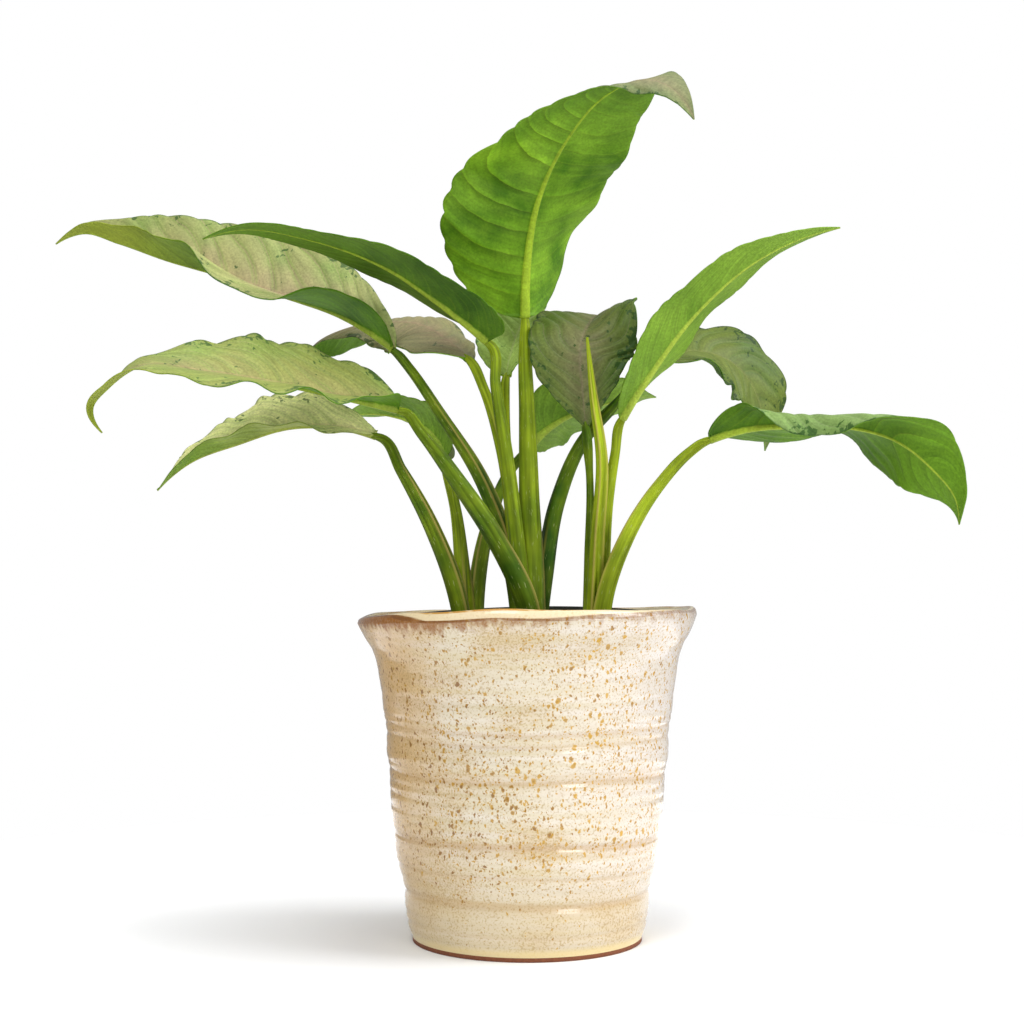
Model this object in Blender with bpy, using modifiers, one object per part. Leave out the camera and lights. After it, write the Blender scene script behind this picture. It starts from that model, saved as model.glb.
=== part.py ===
"""Potted chinese evergreen: three leafy clumps in a grower's pot, which stands in a glazed ceramic pot.

Units are metres with +Z up. The origin is the middle of the ceramic pot's flat foot, and -Y is the front.
"""
import math

import bmesh
import bpy
import numpy as np
from mathutils import Matrix

MM = 0.001
GAP = 0.0003

# Ceramic pot: radius and height in mm
POT_FLOOR = 8
POT_SIDES = 40
POT_INSIDE = [
    (47, POT_FLOOR), (50, 11), (54, 34), (58, 70), (61.5, 100), (64.5, 124), (68, 137), (73, 148),
    (76.5, 153.6),
]
POT_OUTSIDE = [
    (78.4, 154.2), (80.4, 152.6), (80.2, 150.4), (78.3, 145), (75, 139.5), (72.6, 134), (71, 126),
    (69.2, 115), (68.2, 106), (66.8, 97), (66.5, 88), (65.4, 80), (64.2, 66), (62.6, 48), (61, 37),
    (59, 30), (57.7, 17), (55.8, 6), (54.4, 2.6), (54.2, 0),
]
# The thrown rim is higher on its right, with a few low waves round it
RIM_SLOPE = 1.3
RIM_WAVE = 0.7
RIM_WAVES = 3
RIM_TURN = 0.5
RIM_START = 118
RIM_TOP = 154

# Grower's pot and soil: a little off the ceramic pot's axis, as it stands loose in it
POTTING_X = 5
POTTING_SIDES = 36
NURSERY_FLOOR = 1.4
NURSERY_BASE_RADIUS = 40
NURSERY_TOP_RADIUS = 57
NURSERY_LIP_RADIUS = 60.5
NURSERY_LIP_DROP = 7
NURSERY_TOP = 156.5
NURSERY_WALL = 1.3
DRAIN_RADIUS = 4
DRAIN_RING = 27
DRAIN_COUNT = 6
DRAIN_DEPTH = 8
SOIL_TOP = 143
SOIL_CROWN = 2
# Where the crown turns down: a share of the soil's radius, and of its crown
SOIL_SHOULDER = (0.6, 0.7)
STEM_FOOT = 126
STEM_TOP = 151
STEM_SIDES = 24
# The stem's rounded top: shares of its radius, and how far below its top
STEM_SHOULDERS = [(0.55, 2), (1, 9)]

# Blades
BLADE_THICK = 0.8
RIB_THICK = 2.2
BLADE_ROWS = 15
BLADE_COLUMNS = 6
BASE_HALF_WIDTH = 1.5
TIP_HALF_WIDTH = 0.9
TIP_TAPER = 0.3
RIPPLE = 1.1
RIPPLES = 5
RIPPLE_SHIFT = 0.37
CURVE_STEPS = 8
SMOOTH_ANGLE = 40

# A leaf is: heading of its right side in degrees, half width in mm, share of its length where it is widest,
# bluntness of its base, fullness towards its tip, forward sweep of its margins, and stations along its midrib
# from base to tip. A station is x, y, z in mm, how far the left and the right half rise in degrees, and the
# right half's roll.
LEAVES = {
    "leaf_01": (-90, 42, 0.27, 0.55, 2, 0.0, [
        (-1, 0, 295, 45, 20, 0), (0, -6, 322, 60, 5, 0), (5, -16, 348, 46, -8, 0), (18, -32, 373, 22, -28, 0),
        (35, -50, 389, 8, -42, 0), (50, -62, 393, 5, -40, 0), (62, -72, 387, 10, -8, 0),
        (72, -82, 370, 10, 10, 0)]),
    "leaf_02": (180, 34, 0.30, 0.42, 2, 0.5, [
        (-64, 8, 281, 28, 80, 0), (-87, 16, 297, 4, 74, 0), (-123, 26, 311, -18, 70, 0),
        (-154, 36, 322, 2, 72, 0), (-182, 45, 331, 28, 76, 0), (-208, 53, 341, 36, 80, 0),
        (-228, 58, 347, 40, 70, 0), (-242, 60, 342, 20, 30, 0)]),
    "leaf_03": (180, 22, 0.34, 0.45, 2, 0.0, [
        (-19, -4, 284, 32, 10, 0), (-42, -12, 301, 24, 5, 0), (-66, -18, 316, 18, 3, 0),
        (-103, -22, 329, 9, 0, 0), (-135, -24, 333, 10, 0, 0), (-152, -22, 329, 8, 5, 0)]),
    "leaf_04": (180, 28, 0.40, 0.5, 2, 0.0, [
        (-61, -18, 250, 28, 62, 0), (-88, -30, 255, -6, 50, 0), (-113, -43, 259, -8, 48, 0),
        (-145, -58, 263, -16, 36, 0), (-171, -68, 267, -18, 18, 0), (-185, -72, 262, 0, 20, 0),
        (-191, -72, 250, 20, 30, 0), (-187, -71, 238, 20, 40, 0)]),
    "leaf_05": (180, 22, 0.40, 0.5, 2, 0.0, [
        (-72, 0, 239, 50, 60, 0), (-91, -3, 243, 28, 48, 0), (-113, -6, 242, 28, 46, 0),
        (-137, -8, 234, 28, 42, 0), (-160, -7, 225, 20, 38, 0), (-176, -4, 212, 5, 20, 0)]),
    "leaf_06": (175, 24, 0.42, 0.5, 2, 0.0, [
        (-28, 8, 277, -30, -10, 0), (-40, 19, 287, -48, 10, 0), (-54, 33, 295, -50, 5, 0),
        (-70, 42, 297, -46, 0, 0), (-90, 47, 295, -34, -25, 0), (-107, 49, 288, -25, -45, 0),
        (-116, 52, 276, -10, -30, 0)]),
    "leaf_07": (170, 17, 0.36, 0.5, 2, 0.0, [
        (-40, 24, 229, 50, 20, 0), (-48, 30, 243, 45, 5, 0), (-66, 36, 251, 30, 0, 0),
        (-86, 40, 252, 20, 0, 0), (-98, 40, 248, 10, 0, 0)]),
    "leaf_08": (90, 17, 0.34, 0.5, 2, 0.0, [
        (-10, 16, 269, 20, 50, 0), (-6, 20, 286, 0, 30, 0), (2, 26, 304, 0, 10, 0), (10, 30, 320, 10, 0, 0),
        (15, 32, 332, 10, 0, 0)]),
    "leaf_09": (90, 25, 0.46, 0.5, 2, 0.0, [
        (28, -2, 243, 20, 14, 0), (26, -8, 262, 4, 4, 0), (25, -10, 276, 0, 0, 0), (27, -6, 286, 0, 8, 0),
        (31, 4, 294, 0, 30, 0), (36, 20, 299, 0, 20, 0), (41, 36, 292, 0, 0, 0)]),
    "leaf_10": (-20, 21, 0.38, 0.5, 2, 0.0, [
        (2, 38, 237, 10, 35, 0), (18, 44, 250, 0, 30, 0), (36, 48, 257, 0, 22, 0), (54, 50, 262, -5, 15, 0),
        (66, 50, 262, 0, 10, 0)]),
    "leaf_11": (-40, 17, 0.40, 0.9, 2, 0.0, [
        (45, -4, 247, 30, 10, 0), (56, -17, 264, 15, 14, 0), (80, -27, 295, 12, 20, 0),
        (106, -31, 317, 10, 22, 0), (128, -31, 328, 10, 20, 0), (145, -29, 333, 10, 20, 0)]),
    "leaf_12": (0, 26, 0.42, 0.5, 2, 0.0, [
        (46, 18, 260, 30, 10, 0), (63, 28, 276, 32, -15, 0), (85, 39, 285, 38, -32, 0),
        (106, 48, 281, 40, -36, 0), (124, 55, 267, 35, -34, 0), (131, 58, 251, 20, -25, 0),
        (131, 58, 236, 0, 0, 0)]),
    "leaf_13": (0, 24, 0.55, 0.5, 3, 0.0, [
        (87, -4, 237, 0, 30, 0), (105, -14, 241, -25, 45, 0), (126, -26, 241, -25, 62, -150),
        (148, -39, 240, -32, 62, -165), (166, -50, 234, -38, 62, -90), (179, -58, 224, -35, 62, 0),
        (190, -62, 205, -20, 30, 0), (191, -62, 194, 0, 0, 0)]),
}

# A shoot is: its stem's centre and radius in mm, then its petioles. A petiole is x, y, z and radius in mm
# from the root up, and ends at the blade that it is named for. The spear is a leaf that is still rolled up.
PETIOLE_SIDES = 8
PETIOLE_PLACES = 13
PETIOLE_TIP = 1.9
PETIOLE_END = 3
SEAT_GAP = 0.55
WELD = 1e-6
SPEAR = "spear"
SHOOTS = {
    "shoot_centre": ((1, -1, 13.5), {
        "leaf_01": [(2, 0, 136, 5), (2, 0, 170, 4.2), (1, 0, 210, 3.6), (0, 0, 250, 2.8), (-1, 0, 280, 2.2)],
        "leaf_02": [
            (-3, 4, 136, 4.5), (-8, 8, 180, 4.5), (-22, 9, 218, 3.6), (-42, 9, 250, 2.8), (-57, 8, 272, 2.4),
        ],
        "leaf_03": [(-1, -5, 136, 4), (-5, -7, 190, 3.6), (-10, -8, 230, 3.2), (-15, -7, 262, 2.6)],
        "leaf_04": [
            (3, -6, 136, 4.5), (0, -12, 158, 5.5), (-14, -18, 188, 5), (-32, -20, 215, 4.2),
            (-49, -20, 238, 3),
        ],
        "leaf_06": [(-3, 5, 136, 4), (-6, 5, 190, 3.6), (-12, 4, 232, 3), (-21, 5, 262, 2.4)],
        "leaf_08": [(-1, 7, 136, 3), (-7, 13, 200, 2.4), (-10, 15, 250, 1.8)],
        "leaf_12": [(4, 4, 136, 4.5), (8, 11, 170, 4.6), (15, 18, 208, 4), (28, 18, 238, 3.2)],
    }),
    "shoot_left": ((-27, 9, 12.5), {
        "leaf_05": [(-29, 4, 136, 4.5), (-34, 0, 165, 4.6), (-45, -2, 194, 4), (-60, -2, 222, 3)],
        "leaf_07": [(-29, 10, 136, 4.5), (-31, 14, 170, 4), (-35, 20, 205, 2.8)],
        "leaf_10": [(-25, 12, 136, 4.5), (-24, 23, 170, 4.2), (-18, 32, 200, 3.4), (-8, 36, 224, 2.6)],
    }),
    "shoot_right": ((33, -1, 12), {
        "leaf_09": [(30, 4, 136, 4), (30, 4, 180, 2.6), (30, 2, 220, 1.8)],
        "leaf_11": [(36, 4, 136, 5), (36, 4, 175, 4), (38, 1, 205, 3.2), (42, -1, 230, 2.4)],
        "leaf_13": [
            (34, -6, 136, 5), (36, -8, 160, 4.6), (46, -8, 188, 4), (62, -6, 214, 3.2), (77, -5, 230, 2.6),
        ],
        SPEAR: [
            (31, -5, 136, 4.5), (33, -8, 190, 3.6), (35, -12, 225, 3.6), (31, -17, 255, 2.6),
            (28, -20, 283, 0.8),
        ],
    }),
}


def clear_scene():
    for item in list(bpy.data.objects):
        bpy.data.objects.remove(item, do_unlink=True)


def new_collection(name):
    collection = bpy.data.collections.new(name)
    bpy.context.scene.collection.children.link(collection)
    return collection


def new_material(name, colour, roughness):
    material = bpy.data.materials.new(name)
    material.use_nodes = True
    shader = material.node_tree.nodes["Principled BSDF"]
    shader.inputs["Base Color"].default_value = (*colour, 1)
    shader.inputs["Roughness"].default_value = roughness
    shader.inputs["Metallic"].default_value = 0
    return material


def new_object(name, mesh, collection, material=None):
    item = bpy.data.objects.new(name, mesh)
    collection.objects.link(item)
    if material:
        mesh.materials.clear()
        mesh.materials.append(material)
    return item


def evaluated_mesh(item):
    """The item's mesh with its modifiers applied, in world space."""
    graph = bpy.context.evaluated_depsgraph_get()
    mesh = bpy.data.meshes.new_from_object(item.evaluated_get(graph))
    mesh.transform(item.matrix_world)
    return mesh


def smooth_shaded(item):
    item.data.shade_smooth()
    item.data.set_sharp_from_angle(angle=math.radians(SMOOTH_ANGLE))


def turned(name, profile, sides, collection, centre=(0, 0)):
    """A solid turned about Z from (radius, height) points in mm that run down its outer side."""
    shape = bmesh.new()
    row = [shape.verts.new((radius * MM, 0, height * MM)) for radius, height in profile]
    for upper, lower in zip(row, row[1:]):
        shape.edges.new((upper, lower))
    mesh = bpy.data.meshes.new(name)
    shape.to_mesh(mesh)
    shape.free()
    item = new_object(name, mesh, collection)
    screw = item.modifiers.new("turn", "SCREW")
    screw.axis = "Z"
    screw.steps = sides
    screw.render_steps = sides
    screw.use_merge_vertices = True
    screw.merge_threshold = 0.0001
    solid = evaluated_mesh(item)
    solid.transform(Matrix.Translation((centre[0] * MM, centre[1] * MM, 0)))
    item.modifiers.clear()
    item.data = solid
    bpy.data.meshes.remove(mesh)
    return item


def make_pot(collection, material):
    profile = [(0, POT_FLOOR), *POT_INSIDE, *POT_OUTSIDE, (0, 0)]
    pot = turned("pot", profile, POT_SIDES, collection)
    for vertex in pot.data.vertices:
        share = max(0, (vertex.co.z / MM - RIM_START) / (RIM_TOP - RIM_START))
        angle = math.atan2(vertex.co.y, vertex.co.x)
        lift = RIM_SLOPE * math.cos(angle) + RIM_WAVE * math.sin(RIM_WAVES * angle + RIM_TURN)
        vertex.co.z += lift * share * MM
    pot.data.materials.append(material)
    smooth_shaded(pot)


def nursery_foot():
    return POT_FLOOR + GAP / MM


def make_nursery_pot(collection, cutters, material):
    foot = nursery_foot()
    neck = NURSERY_TOP - NURSERY_LIP_DROP
    wall = NURSERY_WALL
    profile = [
        (0, foot + NURSERY_FLOOR), (NURSERY_BASE_RADIUS - wall, foot + NURSERY_FLOOR),
        (NURSERY_TOP_RADIUS - wall, neck), (NURSERY_LIP_RADIUS - 2 * wall, neck + wall),
        (NURSERY_LIP_RADIUS - wall, NURSERY_TOP), (NURSERY_LIP_RADIUS, NURSERY_TOP),
        (NURSERY_LIP_RADIUS, neck), (NURSERY_TOP_RADIUS, neck - wall), (NURSERY_BASE_RADIUS, foot), (0, foot),
    ]
    nursery = turned("nursery_pot", profile, POTTING_SIDES, collection, (POTTING_X, 0))
    for index in range(DRAIN_COUNT):
        angle = math.tau * index / DRAIN_COUNT
        spot = (POTTING_X + DRAIN_RING * math.cos(angle), DRAIN_RING * math.sin(angle), foot)
        add_cutter(f"drain_cutter_{index}", DRAIN_RADIUS, DRAIN_DEPTH, spot, cutters)
    cut(nursery, cutters)
    nursery.data.materials.append(material)
    smooth_shaded(nursery)


def add_cutter(name, radius, depth, spot, cutters):
    """An upright cylinder, in mm, that only cuts others."""
    place = [part * MM for part in spot]
    bpy.ops.mesh.primitive_cylinder_add(
        vertices=STEM_SIDES, radius=radius * MM, depth=depth * MM, location=place)
    item = bpy.context.object
    item.name = name
    for owner in list(item.users_collection):
        owner.objects.unlink(item)
    cutters.objects.link(item)
    item.hide_render = True
    item.display_type = "WIRE"


def cut(item, cutters, operation="DIFFERENCE"):
    """Cuts or joins the item with every object of the collection, then removes them."""
    bpy.context.view_layer.update()
    boolean = item.modifiers.new("cut", "BOOLEAN")
    boolean.operation = operation
    boolean.operand_type = "COLLECTION"
    boolean.collection = cutters
    boolean.solver = "EXACT"
    mesh = evaluated_mesh(item)
    item.modifiers.clear()
    item.data = mesh
    for used in list(cutters.objects):
        bpy.data.objects.remove(used, do_unlink=True)


def make_soil(collection, cutters, material):
    bottom = nursery_foot() + NURSERY_FLOOR + GAP / MM
    taper = (NURSERY_TOP_RADIUS - NURSERY_BASE_RADIUS) / (NURSERY_TOP - NURSERY_LIP_DROP - bottom)
    low = NURSERY_BASE_RADIUS - NURSERY_WALL - 2 * GAP / MM
    high = low + taper * (SOIL_TOP - bottom)
    out, drop = SOIL_SHOULDER
    profile = [
        (0, SOIL_TOP + SOIL_CROWN), (high * out, SOIL_TOP + SOIL_CROWN * drop), (high, SOIL_TOP),
        (low, bottom), (0, bottom),
    ]
    soil = turned("soil", profile, POTTING_SIDES, collection, (POTTING_X, 0))
    depth = STEM_TOP - STEM_FOOT
    for name, ((x, y, radius), _) in SHOOTS.items():
        spot = (x, y, STEM_FOOT + depth / 2 - GAP / MM)
        add_cutter(f"{name}_hole", radius + 2 * GAP / MM, depth, spot, cutters)
    cut(soil, cutters)
    soil.data.materials.append(material)
    smooth_shaded(soil)


def knots_of(points):
    """Each point's share of the way along the line through the points."""
    steps = np.linalg.norm(np.diff(points, axis=0), axis=1)
    return np.concatenate([[0], np.cumsum(steps)]) / steps.sum()


def smooth_through(values, knots, shares):
    """The smooth curve through the values, one for each knot, read at each share of the way."""
    values = np.asarray(values, float)
    slopes = np.gradient(values, knots, axis=0, edge_order=2)
    index = np.clip(np.searchsorted(knots, shares, "right") - 1, 0, len(knots) - 2)
    span = (knots[index + 1] - knots[index])[:, None]
    way = (np.asarray(shares)[:, None] - knots[index][:, None]) / span
    return (values[index] * (1 + 2 * way) * (1 - way) ** 2 + slopes[index] * span * way * (1 - way) ** 2
            + values[index + 1] * way ** 2 * (3 - 2 * way) + slopes[index + 1] * span * way ** 2 * (way - 1))


def half_widths(shares, half_width, widest, blunt, full):
    """A leaf's half width along its length: round to the widest place, then tapering to a drawn-out tip."""
    low = np.clip(shares / widest, 0, 1)
    high = np.clip((shares - widest) / (1 - widest), 0, 1)
    below = (1 - (1 - low) ** 2) ** blunt
    shape = np.where(shares < widest, below, (1 - high ** full) * (1 - TIP_TAPER * high))
    return half_width * shape + BASE_HALF_WIDTH * (1 - shares) + TIP_HALF_WIDTH * shares


def unit(vectors):
    return vectors / np.linalg.norm(vectors, axis=-1, keepdims=True)


def leaf_frame(heading, stations, rows):
    """Midrib points, directions along, to the right and up, and the angles, at rows + 1 places."""
    table = np.array(stations, float)
    knots = knots_of(table[:, :3])
    shares = np.linspace(0, 1, rows + 1)
    read = smooth_through(table, knots, shares)
    fine = smooth_through(table[:, :3], knots, np.linspace(0, 1, CURVE_STEPS * rows + 1))
    along = unit(np.gradient(fine, axis=0)[::CURVE_STEPS])
    side = np.array([math.sin(math.radians(heading)), -math.cos(math.radians(heading)), 0])
    side = unit(side - (along @ side)[:, None] * along)
    return shares, read[:, :3], along, side, np.cross(side, along), np.radians(read[:, 3:])


def leaf_points(name, rows, columns):
    """The blade's upper surface in mm, as rows + 1 by columns + 1 points, left margin first."""
    heading, half_width, widest, blunt, full, sweep, stations = LEAVES[name]
    shares, middle, along, side, up, angles = leaf_frame(heading, stations, rows)
    widths = half_widths(shares, half_width, widest, blunt, full)
    phase = RIPPLE_SHIFT * int(name[-2:])
    across = np.linspace(-1, 1, columns + 1)
    points = np.zeros((rows + 1, columns + 1, 3))
    for column, place in enumerate(across):
        out = abs(place)
        start = angles[:, 0] if place < 0 else angles[:, 1]
        roll = np.zeros(rows + 1) if place < 0 else angles[:, 2]
        steps = start[:, None] + roll[:, None] * out * (np.arange(CURVE_STEPS) + 0.5) / CURVE_STEPS
        reach = np.cos(steps).mean(axis=1) * out * widths * math.copysign(1, place)
        rise = np.sin(steps).mean(axis=1) * out * widths
        ripple = RIPPLE * np.sin(math.tau * (RIPPLES * shares + phase)) * out ** 2 * np.sin(math.pi * shares)
        last = start + roll * out
        reach = reach - ripple * np.sin(last) * math.copysign(1, place)
        rise = rise + ripple * np.cos(last)
        forward = sweep * out * widths * (1 - shares)
        points[:, column] = middle + reach[:, None] * side + rise[:, None] * up + forward[:, None] * along
    return points


def make_leaf(name, collection, material):
    """A thin blade, thicker along its midrib, split into triangles before it is given its thickness."""
    points = leaf_points(name, BLADE_ROWS, BLADE_COLUMNS)
    shape = bmesh.new()
    bmesh.ops.create_grid(shape, x_segments=BLADE_COLUMNS, y_segments=BLADE_ROWS, size=1)
    ribs = []
    for vertex in shape.verts:
        column = round((vertex.co.x + 1) / 2 * BLADE_COLUMNS)
        row = round((vertex.co.y + 1) / 2 * BLADE_ROWS)
        vertex.co = points[row, column] * MM
        if column == BLADE_COLUMNS // 2:
            ribs.append((vertex.index, 1 - row / BLADE_ROWS))
    bmesh.ops.triangulate(shape, faces=shape.faces, quad_method="FIXED")
    mesh = bpy.data.meshes.new(name)
    shape.to_mesh(mesh)
    shape.free()
    item = new_object(name, mesh, collection, material)
    group = item.vertex_groups.new(name="midrib")
    for index, weight in ribs:
        group.add([index], weight, "REPLACE")
    solidify = item.modifiers.new("thickness", "SOLIDIFY")
    solidify.thickness = RIB_THICK * MM
    solidify.offset = -1
    solidify.vertex_group = group.name
    solidify.thickness_vertex_group = BLADE_THICK / RIB_THICK
    smooth_shaded(item)


def petiole_route(leaf, route):
    """The route's points and radii, carried on to the blade so that the stalk's end faces it squarely."""
    if leaf == SPEAR:
        return np.array(route, float)
    heading, *_, stations = LEAVES[leaf]
    _, middle, along, *_ = leaf_frame(heading, stations, BLADE_ROWS)
    end = middle[0] - along[0] * SEAT_GAP
    before = end - along[0] * PETIOLE_END
    return np.array([*route, (*before, PETIOLE_TIP), (*end, PETIOLE_TIP)], float)


def make_stalk(name, route, collection):
    """A round stalk whose radius changes along a smooth route, as a closed mesh."""
    knots = knots_of(route[:, :3])
    shares = np.unique(np.concatenate([np.linspace(0, 1, PETIOLE_PLACES), knots[-2:]]))
    places = smooth_through(route, knots, shares)
    curve = bpy.data.curves.new(name, "CURVE")
    curve.dimensions = "3D"
    curve.bevel_depth = MM
    curve.bevel_resolution = PETIOLE_SIDES // 4
    curve.use_fill_caps = True
    spline = curve.splines.new("POLY")
    spline.points.add(len(places) - 1)
    for point, (x, y, z, radius) in zip(spline.points, places):
        point.co = (x * MM, y * MM, z * MM, 1)
        point.radius = radius
    guide = new_object(f"{name}_curve", curve, collection)
    bpy.context.view_layer.update()
    mesh = evaluated_mesh(guide)
    bpy.data.objects.remove(guide, do_unlink=True)
    shape = bmesh.new()
    shape.from_mesh(mesh)
    bmesh.ops.remove_doubles(shape, verts=shape.verts, dist=WELD)
    bmesh.ops.recalc_face_normals(shape, faces=shape.faces)
    shape.to_mesh(mesh)
    shape.free()
    stalk = new_object(name, mesh, collection)
    stalk.hide_render = True
    stalk.display_type = "WIRE"


def make_shoot(name, collection, cutters, material):
    (x, y, radius), petioles = SHOOTS[name]
    shoulders = [(radius * share, STEM_TOP - drop) for share, drop in STEM_SHOULDERS]
    profile = [(0, STEM_TOP), *shoulders, (radius, STEM_FOOT), (0, STEM_FOOT)]
    shoot = turned(name, profile, STEM_SIDES, collection, (x, y))
    for leaf, route in petioles.items():
        make_stalk(f"{name}_{leaf}", petiole_route(leaf, route), cutters)
    cut(shoot, cutters, "UNION")
    shoot.data.materials.clear()
    shoot.data.materials.append(material)
    smooth_shaded(shoot)


def main():
    clear_scene()
    plant = new_collection("potted_chinese_evergreen")
    cutters = new_collection("cutters")
    make_pot(plant, new_material("glazed_ceramic", (0.72, 0.60, 0.42), 0.3))
    make_nursery_pot(plant, cutters, new_material("black_plastic", (0.02, 0.02, 0.022), 0.5))
    make_soil(plant, cutters, new_material("potting_soil", (0.06, 0.04, 0.025), 0.95))
    stalk_green = new_material("petiole_green", (0.23, 0.31, 0.07), 0.45)
    leaf_green = new_material("leaf_green", (0.20, 0.34, 0.10), 0.4)
    for name in SHOOTS:
        make_shoot(name, plant, cutters, stalk_green)
    for name in LEAVES:
        make_leaf(name, plant, leaf_green)


main()
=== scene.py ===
# %% [markdown]
# # A potted chinese evergreen
#
# The plant has three clumps of stalks in a black grower's pot, which stands loose in a thrown stoneware
# pot. Its blades are silvery above and plain green beneath, and most of the blades here show their
# undersides. Every piece starts as a flat or turned bmesh and is bent into place by a formula. A plant
# could be sculpted too, but named sizes are easier to read and to change.

import math
from functools import partial

import bmesh
import bpy
import numpy as np
from mathutils import Matrix, Vector, noise


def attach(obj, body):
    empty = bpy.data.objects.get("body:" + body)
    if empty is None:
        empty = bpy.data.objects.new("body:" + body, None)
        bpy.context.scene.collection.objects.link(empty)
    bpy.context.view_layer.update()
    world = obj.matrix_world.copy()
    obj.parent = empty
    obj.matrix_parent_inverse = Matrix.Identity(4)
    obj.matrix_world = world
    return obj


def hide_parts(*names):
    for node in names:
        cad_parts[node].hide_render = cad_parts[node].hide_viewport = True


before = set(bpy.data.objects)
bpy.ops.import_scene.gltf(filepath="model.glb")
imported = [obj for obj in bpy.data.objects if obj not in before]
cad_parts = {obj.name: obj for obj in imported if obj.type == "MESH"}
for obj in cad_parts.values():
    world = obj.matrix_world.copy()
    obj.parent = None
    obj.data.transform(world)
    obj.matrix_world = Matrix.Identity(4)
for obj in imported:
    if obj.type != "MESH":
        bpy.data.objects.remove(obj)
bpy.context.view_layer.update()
MM = 0.001

# %% [markdown]
# ## Camera, floor and light
#
# The view is level with the pot's shoulder and tilts up by two degrees, through a long lens. The studio is
# white: a pale floor, one big soft light overhead, a soft light from the right that throws the shadow to
# the left, and a small window-like light that leaves short bright marks on the glaze. Light from one side
# shows the folds of the blades, which light from all round would flatten.

# %% An object in the scene
def add_object(name, data):
    """Puts an object into the scene, from its data or from a bmesh."""
    if isinstance(data, bmesh.types.BMesh):
        shape, data = data, bpy.data.meshes.new(name)
        shape.to_mesh(data)
        shape.free()
    item = bpy.data.objects.new(name, data)
    bpy.context.scene.collection.objects.link(item)
    return item


# %% Camera
PIXELS = 1024
FOCAL_PIXELS = 1765
SENSOR_MM = 36
CAMERA_PLACE = (-7.2, -843, 172.7)
CAMERA_TILT = 91.98

camera_data = bpy.data.cameras.new("camera")
camera_data.sensor_width = SENSOR_MM
camera_data.lens = FOCAL_PIXELS / PIXELS * SENSOR_MM
camera = add_object("camera", camera_data)
camera.location = [part * MM for part in CAMERA_PLACE]
camera.rotation_euler = (math.radians(CAMERA_TILT), 0, 0)
bpy.context.scene.camera = camera
bpy.context.scene.view_settings.view_transform = "Standard"
print("lens:", round(camera_data.lens, 1), "mm")


# %% [markdown]
# ### Colours and materials
#
# Each colour is written as the sRGB hex value that a screen shows, and is turned linear in one place. A
# material is a chain of nodes, most of which mix one more tone over the colour so far. One function adds
# every node.

# %% Colours
def linear(text):
    """An sRGB hex colour as linear RGBA."""
    parts = [int(text[i:i + 2], 16) / 255 for i in (1, 3, 5)]
    return (*[p / 12.92 if p <= 0.04045 else ((p + 0.055) / 1.055) ** 2.4 for p in parts], 1)


# %% Nodes and materials
# The setting that the second word of a kind of node stands for
MODES = {"Math": "operation", "VectorMath": "operation", "Mix": "data_type", "MapRange": "interpolation_type",
    "Attribute": "attribute_name", "UVMap": "uv_map"}


def add_node(tree, kind, *values, **named):
    """Adds a node and gives its first output. Inputs are given in order, or by a name with a capital."""
    kind, _, mode = kind.partition(" ")
    made = tree.nodes.new("ShaderNode" + kind)
    if mode:
        setattr(made, MODES[kind], mode)
    for name, value in named.items():
        if name.islower():
            setattr(made, name, value)
    live = [socket for socket in made.inputs if socket.enabled]
    pairs = [*zip(live, values), *((socket, named[socket.name]) for socket in live if socket.name in named)]
    for socket, value in pairs:
        if isinstance(value, bpy.types.NodeSocket):
            tree.links.new(value, socket)
        else:
            socket.default_value = value
    return next(socket for socket in made.outputs if socket.enabled)


def new_material(name, **finish):
    """A Principled material, the function that adds its nodes, and the place in the object."""
    material = bpy.data.materials.new(name)
    material.use_nodes = True
    for socket, value in finish.items():
        material.node_tree.nodes["Principled BSDF"].inputs[socket.replace("_", " ")].default_value = value
    node = partial(add_node, material.node_tree)
    return material, node, node("TexCoord").node.outputs["Object"]


# %% Steps that most finishes share
def tint(node, colour, part, start, end, most, tone):
    """Lays a tone over a colour: none of it where the part is at the start, and the most at the end."""
    part = node("MapRange", part, start, end, 0, most)
    return node("Mix RGBA", part, colour, linear(tone))


def connect(material, **sources):
    """Links the finished colour and relief to the shader."""
    nodes = material.node_tree.nodes
    for name, source in sources.items():
        material.node_tree.links.new(source, nodes["Principled BSDF"].inputs[name.replace("_", " ")])
    print(material.name, "nodes:", len(nodes))
    return material


def grainy(name, roughness, scale, detail, dark, light, strength=0, depth=0):
    """A matt, grainy finish in two tones. Its grains stand out where a strength of relief is given."""
    material, node, place = new_material(name, Roughness=roughness)
    grain = node("TexNoise", place, scale, detail)
    colour = node("Mix RGBA", grain, linear(dark), linear(light))
    if not strength:
        return connect(material, Base_Color=colour)
    bump = node("Bump", Strength=strength, Distance=depth, Height=grain)
    return connect(material, Base_Color=colour, Normal=bump)


# %% Floor and lights
TABLE_RADIUS = 0.45
TABLE_SIDES = 96
GLOW_FROM = 0.08
GLOW_STRENGTH = 0.75
SKY_SEEN = 1.0
SKY_LIGHT = 0.42


def make_floor():
    """A pale round table. It glows a little towards its edge, which loses the edge in the white."""
    shape = bmesh.new()
    bmesh.ops.create_circle(shape, cap_ends=True, segments=TABLE_SIDES, radius=TABLE_RADIUS)
    table = add_object("table", shape)
    material, node, place = new_material("white_acrylic", Roughness=0.8, Base_Color=linear("#F6F7F9"),
        Emission_Color=linear("#FFFFFF"))
    reach = node("VectorMath LENGTH", place)
    glow = node("MapRange", reach, GLOW_FROM, TABLE_RADIUS, 0, GLOW_STRENGTH)
    table.data.materials.append(connect(material, Emission_Strength=glow))


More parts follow.
